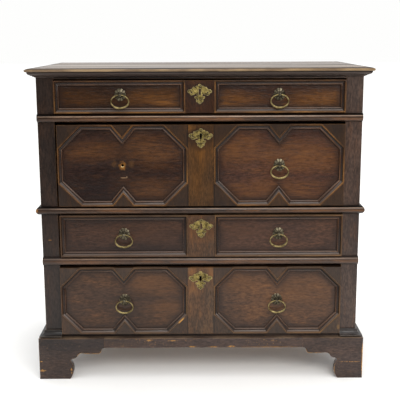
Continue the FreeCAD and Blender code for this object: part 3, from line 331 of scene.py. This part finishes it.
def base_moulding_oak():
    """The hollow over the plinth: painted shadow under the bottom drawer, painted light on the right post.

    The pale arris at the posts is rubbed, and partly a painted highlight.
    """
    paint = oak("oak_base_moulding", "x", srgb(21, 19, 19), srgb(34, 31, 30), srgb(44, 37, 32),
                seed=27.0, warmth=0.3)
    drawer_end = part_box("drawer_4_front")[1].x
    at_post = paint.fade(paint.away(paint.x, 0.0), drawer_end - 4 * MM, drawer_end + 2 * MM)
    in_drawer_shadow = paint.calc("SUBTRACT", 1.0, at_post)
    # Painted shadow of the bottom drawer on the upward faces between the posts
    paint.tint(paint.times(paint.fade(paint.upward, 0.2, 0.6), in_drawer_shadow, 0.75), srgb(22, 19, 18))
    # Painted light: lighter at the right post
    paint.shade(paint.scale(paint.times(at_post, paint.fade(paint.x, -200 * MM, 400 * MM)), 1.0, 2.2))
    # Pale arris at the posts: rubbed, and partly a painted highlight
    rubbed = paint.scale(at_post, 0.3, 0.6)
    paint.tint(paint.times(paint.arris(1.5 * MM), rubbed), srgb(122, 104, 86))
    paint.shader.inputs["Specular IOR Level"].default_value = 0.25
    return paint.done()


def bed_oak():
    """The small moulding under the top."""
    paint = oak("oak_bed_moulding", "x", srgb(50, 41, 38), srgb(70, 57, 50), srgb(78, 61, 49),
                seed=29.0, warmth=0.3)
    return paint.done()


def top_oak():
    """The top: paler and drier than the case, streaked along its length, with a rubbed nosing.

    The nosing's pale rub is partly a painted highlight, the shade under the nosing and in its quirk is
    painted, and a dark band runs along the edges of the top behind it.
    """
    paint = oak("oak_top", "x", srgb(82, 68, 56), srgb(114, 96, 78), srgb(132, 108, 80),
                seed=31.0, length=4.0, contrast=0.7)
    top = cad_box[1].z
    face_end = top - 1.6 * MM
    nosing_start = top - 2.8 * MM
    nosing_end = top - 8 * MM
    hollow_start = top - 9.5 * MM
    quirk_middle = top - 11 * MM
    bands = paint.fade(paint.noise((1.1, 26, 26), detail=5.0, roughness=0.65, offset=6.2), 0.36, 0.64)
    paint.shade(paint.scale(bands, 0.78, 1.2))
    paint.rough = paint.scale(bands, 0.48, 0.3)
    rubbed = paint.scale(paint.fade(paint.noise((14, 14, 40), detail=6.0, offset=4.4), 0.38, 0.62), 0.25, 1.0)
    # The nosing: brown, rubbed pale on its upper round, the pale partly a painted highlight
    nosing = paint.times(paint.fade(paint.z, face_end, nosing_start),
                         paint.fade(paint.z, hollow_start, nosing_end))
    paint.tint(paint.times(nosing, 0.6), srgb(84, 60, 36))
    paint.tint(paint.times(nosing, rubbed, 0.75), srgb(158, 132, 96))
    # Painted shade under the nosing
    under = paint.fade(paint.z, top - 8.8 * MM, top - 9.8 * MM)
    paint.tint(paint.times(under, 0.9), srgb(60, 50, 47))
    # Painted shadow in the quirk under the nosing
    quirk_shadow = paint.fade(paint.away(paint.z, quirk_middle), 2 * MM, 1.2 * MM)
    paint.tint(paint.times(quirk_shadow, 0.85), srgb(20, 15, 13))
    from_edge = paint.smallest(paint.calc("SUBTRACT", paint.y, cad_box[0].y),
                               paint.calc("SUBTRACT", cad_box[1].x, paint.away(paint.x, 0.0)))
    behind_nosing = paint.times(paint.fade(from_edge, 22 * MM, 12 * MM),
                                paint.fade(paint.z, nosing_start, face_end))
    paint.tint(paint.times(behind_nosing, 0.8), SOOT_AND_SHADE)
    gloss = paint.times(paint.scale(bands, 0.15, 0.5), paint.scale(behind_nosing, 1.0, 0.1))
    paint.feed(paint.shader.inputs["Specular IOR Level"], gloss)
    return paint.done()


# Stretches of the brackets' edges that are worn to raw wood: centre and radii in mm, across and up
WORN_EDGES = [((-335, 82), (52, 12)), ((335, 82), (26, 10)), ((480, 62), (8, 44)), ((396, 30), (8, 16))]


def plinth_oak(name, grain, seed, chips=(), specked=0.15):
    """Aprons and bracket feet: dull, knocked and worn to raw wood on the edges."""
    paint = oak(name, grain, srgb(40, 32, 30), srgb(63, 50, 45), srgb(82, 58, 42), seed, warmth=0.35)
    # Painted shade: darker towards the left
    paint.shade(paint.scale(paint.fade(paint.x, -500 * MM, 300 * MM), 0.72, 1.0))
    paint.tint(paint.times(paint.arris(1.4 * MM, offset=6.1), 0.5), WORN)
    plinth_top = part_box("front_apron")[1].z
    rubbed = paint.scale(paint.fade(paint.noise((16, 16, 16), detail=5.0, offset=1.3), 0.4, 0.62), 0.1, 0.55)
    arris = paint.fade(paint.z, plinth_top - 1.8 * MM, plinth_top - 0.7 * MM)
    paint.tint(paint.times(arris, rubbed), srgb(122, 100, 78))
    patches = paint.fade(paint.noise((14, 14, 14), detail=3.0, offset=8.2), 0.42, 0.6)
    specks = paint.fade(paint.noise((190, 190, 190), detail=3.0, roughness=0.6, offset=5.1), 0.58, 0.66)
    pits = paint.fade(paint.noise((160, 160, 160), detail=3.0, roughness=0.6, offset=7.4), 0.42, 0.34)
    paint.tint(paint.times(specks, patches, specked), srgb(140, 104, 62))
    paint.tint(paint.times(pits, specked), SOOT_AND_SHADE)
    crumbled = paint.fade(paint.noise((230, 230, 230), detail=4.0, offset=3.3), 0.38, 0.52)
    for centre, radii in chips:
        paint.tint(paint.times(paint.spot(centre, radii, ragged=0.9), crumbled, 0.9), srgb(160, 116, 60))
    worn_edge = paint.edge(3.4 * MM)
    for centre, radii in WORN_EDGES:
        worn = paint.times(worn_edge, crumbled, paint.spot(centre, radii, ragged=0.8))
        paint.tint(paint.times(worn, 0.9), srgb(184, 136, 70))
    return paint.done()


DRY_DEEP = srgb(104, 78, 54)
DRY_MID = srgb(142, 110, 76)


def dry_oak(name, grain, seed):
    """Dry oak that was never waxed, for the insides and the back."""
    paint = oak(name, grain, DRY_DEEP, DRY_MID, srgb(160, 122, 80), seed, warmth=0.4, length=4.0,
                contrast=0.45)
    paint.rough = paint.scale(paint.noise(along_grain(grain, 6, 40), detail=3.0, offset=7.7), 0.6, 0.8)
    grime = paint.fade(paint.noise((5, 5, 5), detail=4.0, offset=9.3), 0.5, 0.75)
    paint.tint(paint.times(grime, 0.4), srgb(74, 58, 44))
    return paint


def back_oak():
    """The back boards, each of its own tone, with dark joints between them."""
    paint = dry_oak("oak_back_boards", "x", seed=74.0)
    low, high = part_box("back_boards")
    for start, end in ((low.z, SECTION_JOINT), (SECTION_JOINT, high.z)):
        height = (end - start) / BACK_BOARDS_PER_SECTION
        for index in range(BACK_BOARDS_PER_SECTION):
            joint = start + index * height
            board = paint.times(paint.fade(paint.z, joint - 0.2 * MM, joint + 0.2 * MM),
                                paint.fade(paint.z, joint + height + 0.2 * MM, joint + height - 0.2 * MM))
            # A share from 0 to 1 that jumps about from board to board
            jump = (index * 0.618 + start * 7) % 1
            paint.shade(paint.scale(board, 1.0, 0.72 + 0.3 * jump))
            paint.tint(paint.times(paint.fade(paint.away(paint.z, joint), 2.6 * MM, 1.2 * MM), 0.9), SOOT_AND_SHADE)
    return paint.done()


# Drawer fronts

def panel_distance(paint, number):
    """How far inside the outline of its panel a point of a drawer's front lies, along the mitres."""
    low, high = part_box(f"drawer_{number}_front")
    half_plate = PLATE_WIDTH[number] / 2
    half_width = ((high.x - low.x) / 2 - half_plate) / 2
    half_height = (high.z - low.z) / 2
    from_middle = paint.away(paint.x, (low.x + high.x) / 2)
    across = paint.away(from_middle, half_plate + half_width)
    up = paint.away(paint.z, (low.z + high.z) / 2)
    inside = paint.smallest(paint.calc("SUBTRACT", half_width, across),
                            paint.calc("SUBTRACT", half_height, up))
    if not FACET[number]:
        return inside
    corner_line = half_width + half_height - FACET[number]
    corner = paint.calc("SUBTRACT", corner_line, paint.calc("ADD", across, up))
    corner = paint.times(corner, math.sqrt(0.5))
    slope = NOTCH_DEPTH / NOTCH_HALF_WIDTH
    notch_line = paint.calc("MULTIPLY_ADD", across, slope, half_height - NOTCH_DEPTH)
    notch = paint.times(paint.calc("SUBTRACT", notch_line, up), math.cos(math.atan(slope)))
    return paint.smallest(inside, corner, notch)


# Warm patches of the fields and plates: centre and radii in mm, across and up, and strength
WARM_PATCHES = {
    1: [((-125, 826), (75, 26), 0.32), ((-98, 817), (46, 12), 0.55), ((-330, 830), (90, 24), 0.12),
        ((95, 822), (70, 24), 0.36), ((80, 814), (40, 9), 0.55), ((330, 826), (76, 24), 0.34)],
    2: [((-132, 690), (80, 46), 0.4), ((-320, 684), (80, 24), 0.34), ((111, 690), (70, 40), 0.5),
        ((292, 672), (110, 40), 0.5), ((230, 566), (190, 26), 0.5), ((-150, 570), (70, 30), 0.25),
        ((-30, 748), (14, 9), 0.9), ((4, 690), (16, 50), 0.8), ((-12, 600), (20, 60), 0.35)],
    3: [((-150, 440), (110, 26), 0.3), ((120, 446), (60, 30), 0.4), ((-22, 450), (14, 20), 0.6),
        ((28, 448), (14, 22), 0.6), ((2, 424), (24, 9), 0.3)],
    4: [((-120, 286), (80, 34), 0.5), ((-95, 214), (70, 26), 0.4), ((105, 296), (70, 26), 0.4),
        ((300, 262), (90, 44), 0.45), ((-26, 326), (12, 14), 0.6), ((30, 318), (10, 20), 0.6),
        ((-16, 290), (22, 26), 0.6)],
}
# Deep, middle and warm tones of each drawer's fields
FIELD_TONES = {
    1: (srgb(43, 23, 16), srgb(66, 37, 22), srgb(124, 78, 29)),
    2: (srgb(44, 26, 22), srgb(64, 40, 30), srgb(104, 66, 34)),
    3: (srgb(43, 29, 23), srgb(59, 39, 29), srgb(82, 53, 34)),
    4: (srgb(42, 29, 22), srgb(63, 43, 30), srgb(96, 62, 33)),
}
# How light the left and right panels of each drawer are against those tones
FIELD_SHADE = {1: (0.3, 0.6), 2: (0.42, 0.95), 3: (0.82, 1.3), 4: (0.95, 1.35)}


def warm_share(paint, number, grain):
    """How far the warm patches of a drawer show at each point, streaked along the grain."""
    patches = [paint.times(paint.spot(centre, radii, ragged=0.6, soft=0.9), strength)
               for centre, radii, strength in WARM_PATCHES[number]]
    streaks = paint.noise(along_grain(grain, 26, 240), detail=5.0, roughness=0.7, offset=4.9)
    return paint.times(paint.largest(*patches), paint.scale(paint.fade(streaks, 0.34, 0.64), 0.3, 1.35))


def field_oak(number):
    """The front of a drawer: warm where it was rubbed, dark along the mouldings, raw wood behind."""
    deep, mid, warm = FIELD_TONES[number]
    paint = oak(f"oak_field_{number}", "x", deep, mid, warm, seed=40.0 + number, warmth=0.4)
    left, right = FIELD_SHADE[number]
    paint.shade(paint.scale(paint.rightward(), left, right))
    paint.tint(warm_share(paint, number, "x"), warm)
    inside = panel_distance(paint, number)
    ragged = paint.scale(paint.noise((12, 12, 12), detail=4.0, offset=6.6), -12 * MM, 12 * MM)
    # Darker along the mouldings, fading out about 34 mm inside the outline of the panel
    darkening = paint.fade(paint.calc("ADD", inside, ragged), 34 * MM, MOULDING_WIDTH)
    paint.tint(paint.times(darkening, 0.6), srgb(34, 22, 17))
    if number == EMPTY_HOLE_DRAWER:
        empty_hole_marks(paint)
    streaks = paint.noise((5, 60, 60), detail=5.0, roughness=0.65, offset=9.9)
    raw = paint.mix(paint.fade(streaks, 0.3, 0.7), DRY_DEEP, DRY_MID)
    paint.tint(paint.fade(paint.backward, 0.5, 0.9), raw)
    return paint.done()


def empty_hole_marks(paint):
    """What the lost pull left: a dark hole with a raw rim, smudges, and the scratches where the ring hung.

    The hole's darkness is painted shade, and the pale spot on its lower rim is a painted glint.
    """
    across, up = EMPTY_HOLE
    shadow = paint.spot(EMPTY_HOLE, (34, 22), ragged=0.5, soft=0.6)
    paint.tint(paint.times(shadow, 0.5), srgb(36, 24, 18))
    for offset in (-24, 25):
        smudge = paint.spot((across + offset, up + 4), (7, 9), ragged=0.8, soft=0.7)
        paint.tint(paint.times(smudge, 0.12), WORN)
    halo = paint.spot((across, up - 2), (9, 10), ragged=0.9, soft=0.6)
    paint.tint(paint.times(halo, 0.7), srgb(142, 94, 36))
    # Painted glint on the lower rim of the hole
    rim = paint.spot((across - 0.5, up - 3), (4.4, 2.4), ragged=0.2)
    paint.tint(paint.times(rim, 0.8), srgb(205, 182, 136))
    # Painted shade: the bore and its mouth painted near black, without gloss
    hole_shade = paint.spot((across, up + 0.5), (3.9, 3.9), ragged=0.1, soft=0.15)
    paint.tint(hole_shade, srgb(6, 5, 4))
    paint.feed(paint.shader.inputs["Specular IOR Level"], paint.scale(hole_shade, 0.3, 0.0))
    for centre, radii, strength in RING_SCRATCHES:
        paint.tint(paint.times(paint.spot(centre, radii, ragged=0.3), strength), srgb(150, 122, 92))


# How far the mouldings of each drawer are rubbed, and how much of that holds along the top and on the left
RUBBED = {1: 0.8, 2: 0.75, 3: 0.55, 4: 0.5}
RUBBED_TOP = {1: 0.4, 2: 0.8, 3: 1.4, 4: 1.1}
RUBBED_LEFT = {1: 0.85, 2: 0.75, 3: 0.45, 4: 0.6}
# What they are rubbed down to
RUBBED_TONE = {1: WORN, 2: WORN, 3: srgb(134, 102, 66), 4: srgb(140, 104, 60)}


def moulding_oak(number):
    """Applied mouldings: rubbed pale on the outer arris and the bead, with dark hollows between.

    The hollows and the quirk of the bead are darkened by dirt and by painted shade, and the faces turned
    upward carry a painted highlight.
    """
    paint = oak(f"oak_moulding_{number}", "x", srgb(32, 22, 17), srgb(52, 33, 22), srgb(78, 47, 25),
                seed=50.0 + number, warmth=0.45)
    inside = panel_distance(paint, number)
    # Dark hollow and quirk of the bead: dirt and painted shade
    hollow = paint.times(paint.fade(inside, FILLET_WIDTH, FILLET_WIDTH + 1 * MM),
                         paint.fade(inside, BEAD_CREST, BEAD_START))
    paint.tint(paint.times(hollow, 0.55), srgb(28, 22, 20))
    paint.tint(paint.times(paint.fade(paint.away(inside, BEAD_START), 1.4 * MM, 0.6 * MM), 0.7), SOOT_AND_SHADE)
    # Painted highlight on the faces turned upward
    paint.tint(paint.times(paint.fade(paint.upward, 0.15, 0.6), 0.5), srgb(116, 100, 90))
    broken = paint.fade(paint.noise((9, 9, 9), detail=6.0, roughness=0.65, offset=2.9), 0.38, 0.66)
    edge = paint.largest(paint.fade(inside, 1.0 * MM, 0.2 * MM),
                         paint.fade(paint.away(inside, FILLET_WIDTH - 0.4 * MM), 1.2 * MM, 0.4 * MM))
    low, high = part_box(f"drawer_{number}_front")
    on_top = paint.fade(paint.z, high.z - MOULDING_WIDTH, high.z - FILLET_WIDTH)
    below = paint.fade(paint.z, low.z + MOULDING_WIDTH, low.z + FILLET_WIDTH)
    from_plate = paint.away(paint.away(paint.x, (low.x + high.x) / 2), PLATE_WIDTH[number] / 2)
    beside_plate = paint.fade(from_plate, 6 * MM, 3 * MM)
    side_share = paint.scale(paint.rightward(), RUBBED_LEFT[number], 1.0)
    rubbed = paint.times(paint.scale(broken, 0.15, RUBBED[number]),
                         side_share,
                         paint.scale(on_top, 1.0, RUBBED_TOP[number]),
                         paint.scale(below, 1.0, 1.3),
                         paint.scale(beside_plate, 1.0, 1.6))
    paint.tint(paint.times(edge, rubbed), RUBBED_TONE[number])
    crest = paint.fade(paint.away(inside, BEAD_CREST), 1.8 * MM, 0.5 * MM)
    paint.tint(paint.times(crest, broken, side_share, RUBBED[number]), srgb(106, 70, 38))
    if number == CHIPPED_DRAWER:
        chip = paint.spot(*MOULDING_CHIP, ragged=0.4)
        paint.tint(paint.times(chip, paint.fade(inside, 4.5 * MM, 2.5 * MM)), RAW)
    return paint.done()


# Deep, middle and warm tones of each drawer's plates
PLATE_TONES = {
    1: (srgb(32, 17, 10), srgb(47, 26, 14), srgb(70, 40, 17)),
    2: (srgb(44, 28, 15), srgb(66, 44, 22), srgb(98, 63, 26)),
    3: (srgb(42, 30, 22), srgb(59, 43, 31), srgb(108, 68, 33)),
    4: (srgb(58, 42, 30), srgb(80, 60, 42), srgb(122, 80, 42)),
}
# How dark the wood is painted round the escutcheon of each drawer
KEY_DARKENING = {1: 0.55, 2: 0.55, 3: 0.2, 4: 0.15}


def plate_oak(number):
    """Middle plate, lighter than the fields, and the dark corner plates."""
    deep, mid, warm = PLATE_TONES[number]
    paint = oak(f"oak_plate_{number}", "z", deep, mid, warm, seed=60.0 + number, warmth=0.5)
    paint.tint(warm_share(paint, number, "z"), warm)
    low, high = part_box(f"drawer_{number}_front")
    from_middle = paint.away(paint.x, (low.x + high.x) / 2)
    half_plate = PLATE_WIDTH[number] / 2
    corners = paint.fade(from_middle, half_plate - 0.5 * MM, half_plate + 0.5 * MM)
    paint.shade(paint.scale(corners, 1.0, 0.63))
    paint.tint(paint.times(corners, 0.45), srgb(42, 34, 31))
    seam = paint.fade(paint.away(from_middle, half_plate), 2.2 * MM, 0.8 * MM)
    paint.tint(paint.times(seam, 0.9), srgb(22, 17, 15))
    key_low, key_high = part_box(f"drawer_{number}_escutcheon")
    key_place = ((key_low.x + key_high.x) / 2 / MM, (key_low.z + key_high.z) / 2 / MM)
    darkening = paint.spot(key_place, KEY_DARKENING_RADII, ragged=0.4, soft=0.25)
    paint.tint(paint.times(darkening, KEY_DARKENING[number]), srgb(34, 22, 15))
    paint.tint(paint.times(paint.arris(1.4 * MM), 0.45), WORN)
    if number == CHIPPED_DRAWER:
        paint.tint(paint.times(paint.spot(*PLATE_CHIP, ragged=0.9), 0.35), srgb(132, 98, 54))
    return paint.done()


# Metals

def brass(name, bright, dull, seed):
    """Old brass: rubbed bright on its edges, brown and olive in the hollows."""
    paint = Paint(name, seed)
    cloud = paint.noise((90, 90, 90), detail=5.0, roughness=0.6)
    speck = paint.noise((420, 420, 420), detail=3.0, offset=2.0)
    paint.colour = paint.mix(paint.fade(cloud, 0.36, 0.66), dull, bright)
    paint.tint(paint.times(paint.fade(speck, 0.58, 0.7), 0.5), srgb(62, 52, 30))
    paint.tint(paint.times(paint.arris(1.0 * MM), 0.4), srgb(176, 162, 120))
    paint.rough = paint.scale(cloud, 0.28, 0.5)
    paint.bump(speck, 0.12 * MM)
    paint.shader.inputs["Metallic"].default_value = 0.85
    return paint


def plate_brass():
    """Escutcheons: dark olive in the relief, with a bright rubbed rim.

    The rim's brightness is partly a painted highlight, and the keyholes are painted near black for their
    shade.
    """
    paint = brass("brass_plate", bright=srgb(160, 142, 82), dull=srgb(90, 78, 44), seed=76.0)
    chased = paint.noise((150, 150, 150), detail=2.0, distortion=1.2, offset=5.5)
    paint.tint(paint.times(paint.fade(chased, 0.48, 0.38), 0.8), srgb(40, 34, 20))
    paint.bump(chased, 1.2 * MM)
    # Painted highlight along the edges, over the rubbed rim
    paint.tint(paint.times(paint.edge(1.5 * MM), 0.6), srgb(200, 188, 148))
    # Painted shade: each keyhole and a narrow margin round it painted near black
    for opening in frame["record"]["physics"]["openings"]:
        if opening["name"].endswith("_keyhole"):
            low, high = opening["box_m"]
            keyhole = ((low[0] + high[0]) / 2 / MM, (low[2] + high[2]) / 2 / MM)
            paint.tint(paint.spot(keyhole, KEYHOLE_RADII, ragged=0.05, soft=0.12), srgb(8, 7, 6))
    return paint.done()


def ring_brass():
    """The drop rings, rubbed paler than the plates behind them."""
    return brass("brass_ring", bright=srgb(152, 136, 92), dull=srgb(94, 81, 50), seed=78.0).done()


def mount_brass(number):
    """Rose plates of the pulls: dark bronze, embossed with a petal to each lobe of the edge."""
    paint = brass(f"brass_mount_{number}", bright=srgb(112, 104, 84), dull=srgb(50, 44, 34),
                  seed=77.0 + number)
    low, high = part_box(f"drawer_{number}_front")
    from_middle = paint.away(paint.x, (low.x + high.x) / 2)
    across = paint.away(from_middle, PULL_SPACING)
    up = paint.calc("SUBTRACT", paint.z, PULL_HEIGHT[number])
    reach = paint.calc("SQRT", paint.calc("ADD", paint.times(across, across), paint.times(up, up)))
    turn = paint.times(paint.calc("ARCTAN2", across, up), ROSE_LOBES)
    valley = paint.times(paint.fade(paint.calc("COSINE", turn), 0.1, 0.9), paint.fade(reach, 5 * MM, 9 * MM))
    ring = paint.fade(paint.away(reach, ROSE_RING), 1.6 * MM, 0.6 * MM)
    groove = paint.largest(valley, ring)
    paint.tint(paint.times(groove, 0.55), srgb(26, 22, 16))
    paint.bump(paint.calc("SUBTRACT", 1.0, groove), 0.8 * MM)
    return paint.done()


def iron():
    """The locks: grey iron with brown rust."""
    paint = Paint("lock_iron", seed=80.0)
    cloud = paint.noise((60, 60, 60), detail=5.0, roughness=0.6)
    paint.colour = paint.mix(paint.fade(cloud, 0.38, 0.66), srgb(52, 48, 46), srgb(86, 66, 52))
    paint.rough = paint.scale(cloud, 0.45, 0.7)
    paint.bump(cloud, 0.3 * MM)
    paint.shader.inputs["Metallic"].default_value = 0.7
    return paint.done()


# Dress the CAD nodes

WELD_DISTANCE = 0.02 * MM
SHARP_ANGLE = math.radians(38)


def dress(node, material, edge=0.0):
    """Give a CAD node its material, and soften its arrises by a width."""
    thing = frame["nodes"][node]
    thing.data.materials.clear()
    thing.data.materials.append(material)
    if edge:
        weld = thing.modifiers.new("Weld", "WELD")
        weld.merge_threshold = WELD_DISTANCE
        soft = thing.modifiers.new("Soft_edges", "BEVEL")
        soft.width = edge
        soft.segments = 2
        soft.limit_method = "ANGLE"
        soft.angle_limit = SHARP_ANGLE


# Chips of the plinth: centre and radii in mm, across and up
FOOT_CHIPS = [((-472, 27), (9, 3)), ((-476, 55), (5, 1.4)), ((-386, 25), (3, 8)), ((442, 51), (30, 0.8)),
              ((481, 88), (3, 12)), ((481, 38), (3, 18))]
APRON_CHIPS = [((-152, 120.5), (9, 2.2)), ((-82, 119), (14, 1.4)), ((-24, 99.5), (10, 2)),
               ((36, 99), (12, 2.2)), ((90, 100), (9, 3.2)), ((202, 97.6), (80, 1.2))]

upright = frame_oak("oak_frame_upright", "z", seed=11.0)
lengthwise = frame_oak("oak_frame_lengthwise", "x", seed=12.0)
sideways = frame_oak("oak_frame_sideways", "y", seed=13.0)
foot = plinth_oak("oak_feet", "x", seed=16.0, chips=FOOT_CHIPS)
side_foot = plinth_oak("oak_side_feet", "y", seed=17.0)
apron = plinth_oak("oak_front_apron", "x", seed=18.0, chips=APRON_CHIPS, specked=0.6)
dry_upright = dry_oak("oak_dry_upright", "z", seed=71.0).done()
dry_lengthwise = dry_oak("oak_dry_lengthwise", "x", seed=72.0).done()
dry_sideways = dry_oak("oak_dry_sideways", "y", seed=73.0).done()
escutcheon_brass = plate_brass()
drop_brass = ring_brass()
lock_iron = iron()

dress("top_board", top_oak(), edge=0.8 * MM)
dress("top_bed_moulding", bed_oak(), edge=0.5 * MM)
dress("front_posts", upright, edge=0.8 * MM)
dress("rear_posts", upright, edge=0.8 * MM)
dress("front_rails", lengthwise, edge=0.6 * MM)
dress("side_rails", sideways, edge=0.8 * MM)
dress("side_panels", frame_oak("oak_side_panels", "z", seed=14.0), edge=0.4 * MM)
dress("rear_rails", dry_lengthwise, edge=0.6 * MM)
dress("back_boards", back_oak(), edge=1.2 * MM)
dress("drawer_runners", dry_sideways, edge=0.6 * MM)
dress("rail_mouldings", rail_moulding_oak(), edge=0.7 * MM)
dress("waist_moulding", waist_oak(), edge=0.7 * MM)
dress("base_moulding", base_moulding_oak(), edge=0.7 * MM)
dress("front_brackets", foot, edge=0.9 * MM)
dress("side_brackets", side_foot, edge=0.9 * MM)
dress("front_apron", apron, edge=0.8 * MM)
dress("side_aprons", plinth_oak("oak_side_aprons", "y", seed=19.0), edge=0.8 * MM)
dress("rear_brackets", dry_lengthwise, edge=1.2 * MM)
dress("corner_blocks", dry_upright, edge=1.0 * MM)
dress("section_dowels", dry_upright)
for number in DRAWERS:
    dress(f"drawer_{number}_front", field_oak(number))
    dress(f"drawer_{number}_mouldings", moulding_oak(number), edge=0.4 * MM)
    dress(f"drawer_{number}_plates", plate_oak(number), edge=0.6 * MM)
    dress(f"drawer_{number}_box", dry_sideways, edge=0.8 * MM)
    dress(f"drawer_{number}_bottom", dry_lengthwise, edge=0.5 * MM)
    dress(f"drawer_{number}_escutcheon", escutcheon_brass, edge=0.4 * MM)
    dress(f"drawer_{number}_pull_mounts", mount_brass(number), edge=0.3 * MM)
for number in LOCKED_DRAWERS:
    dress(f"drawer_{number}_lock", lock_iron, edge=0.6 * MM)
    dress(f"drawer_{number}_lock_bolt", lock_iron, edge=0.5 * MM)
for node in frame["nodes"]:
    if node.endswith("_ring"):
        dress(node, drop_brass)


# Studio

# Strength of the world's light from the front, from behind and from above
WORLD_FRONT = 0.1
WORLD_BEHIND = 1.1
WORLD_ABOVE = 1.5


def area_light(name, place, aim, width, height, watts, tone=(1.0, 1.0, 1.0)):
    """A soft box at a place, turned to an aim, which the camera doesn't see."""
    lamp = bpy.data.lights.new(name, "AREA")
    lamp.shape = "RECTANGLE"
    lamp.size = width
    lamp.size_y = height
    lamp.energy = watts
    lamp.color = tone
    holder = bpy.data.objects.new(name, lamp)
    holder.location = place
    holder.rotation_mode = "QUATERNION"
    holder.rotation_quaternion = (Vector(aim) - Vector(place)).to_track_quat("-Z", "Y")
    holder.visible_camera = False
    bpy.context.scene.collection.objects.link(holder)


def floor():
    """A wide pale floor that stops a few steps in front of the chest."""
    reach = 30.0
    front = -1.9
    mesh = bpy.data.meshes.new("floor")
    mesh.from_pydata([(-reach, front, 0), (reach, front, 0), (reach, reach, 0), (-reach, reach, 0)], [],
                     [(0, 1, 2, 3)])
    ground = bpy.data.objects.new("floor", mesh)
    bpy.context.scene.collection.objects.link(ground)
    paint = Paint("floor_paper", seed=90.0)
    grain = paint.noise((3, 3, 3), detail=4.0)
    paint.colour = paint.mix(grain, srgb(243, 242, 240), srgb(250, 249, 247))
    paint.rough = 0.9
    mesh.materials.append(paint.done())


def studio_world():
    """White paper to the camera, and light on the chest from above and behind, with less from the front."""
    world = bpy.data.worlds.new("studio")
    world.use_nodes = True
    tree = world.node_tree
    tree.nodes.clear()

    def share(value, start, end, low, high):
        made = tree.nodes.new("ShaderNodeMapRange")
        made.interpolation_type = "SMOOTHSTEP"
        for socket, number in zip(made.inputs[1:5], (start, end, low, high)):
            socket.default_value = number
        tree.links.new(value, made.inputs["Value"])
        return made.outputs["Result"]

    place = tree.nodes.new("ShaderNodeTexCoord")
    split = tree.nodes.new("ShaderNodeSeparateXYZ")
    tree.links.new(place.outputs["Generated"], split.inputs[0])
    strength = tree.nodes.new("ShaderNodeMath")
    strength.operation = "MAXIMUM"
    tree.links.new(share(split.outputs["Z"], 0.1, 0.65, WORLD_FRONT, WORLD_ABOVE), strength.inputs[0])
    tree.links.new(share(split.outputs["Y"], -0.1, 0.7, WORLD_FRONT, WORLD_BEHIND), strength.inputs[1])
    light = tree.nodes.new("ShaderNodeBackground")
    light.inputs["Color"].default_value = (0.98, 0.99, 1.0, 1.0)
    tree.links.new(strength.outputs[0], light.inputs["Strength"])
    paper = tree.nodes.new("ShaderNodeBackground")
    paper.inputs["Color"].default_value = srgb(254, 254, 253)
    path = tree.nodes.new("ShaderNodeLightPath")
    either = tree.nodes.new("ShaderNodeMixShader")
    tree.links.new(path.outputs["Is Camera Ray"], either.inputs[0])
    tree.links.new(light.outputs[0], either.inputs[1])
    tree.links.new(paper.outputs[0], either.inputs[2])
    output = tree.nodes.new("ShaderNodeOutputWorld")
    tree.links.new(either.outputs[0], output.inputs["Surface"])
    bpy.context.scene.world = world


floor()
studio_world()
area_light("key", place=(0.9, -3.2, 2.2), aim=(0, 0, 0.3), width=2.4, height=1.2, watts=75.0,
           tone=(1.0, 0.98, 0.95))
area_light("low_from_behind", place=(0, 1.5, 0.22), aim=(0, -0.2, 0), width=0.8, height=0.2, watts=10.0)

# Camera, as worked out from the photograph: 815 px of focal length in a frame of 400 px

FOCAL_PIXELS = 815
FRAME_PIXELS = 400
CAMERA_PLACE = Vector((-0.66 * MM, -2573.9 * MM, 997.66 * MM))
PITCH = math.radians(11.243)
ROLL = math.radians(-0.25)

lens = bpy.data.cameras.new("camera")
lens.sensor_width = 36.0
lens.lens = FOCAL_PIXELS / FRAME_PIXELS * lens.sensor_width
camera = bpy.data.objects.new("camera", lens)
bpy.context.scene.collection.objects.link(camera)
turn = Matrix.Rotation(math.pi / 2 - PITCH, 4, "X") @ Matrix.Rotation(ROLL, 4, "Z")
camera.matrix_world = Matrix.Translation(CAMERA_PLACE) @ turn
bpy.context.scene.camera = camera
bpy.context.scene.view_settings.view_transform = "Standard"
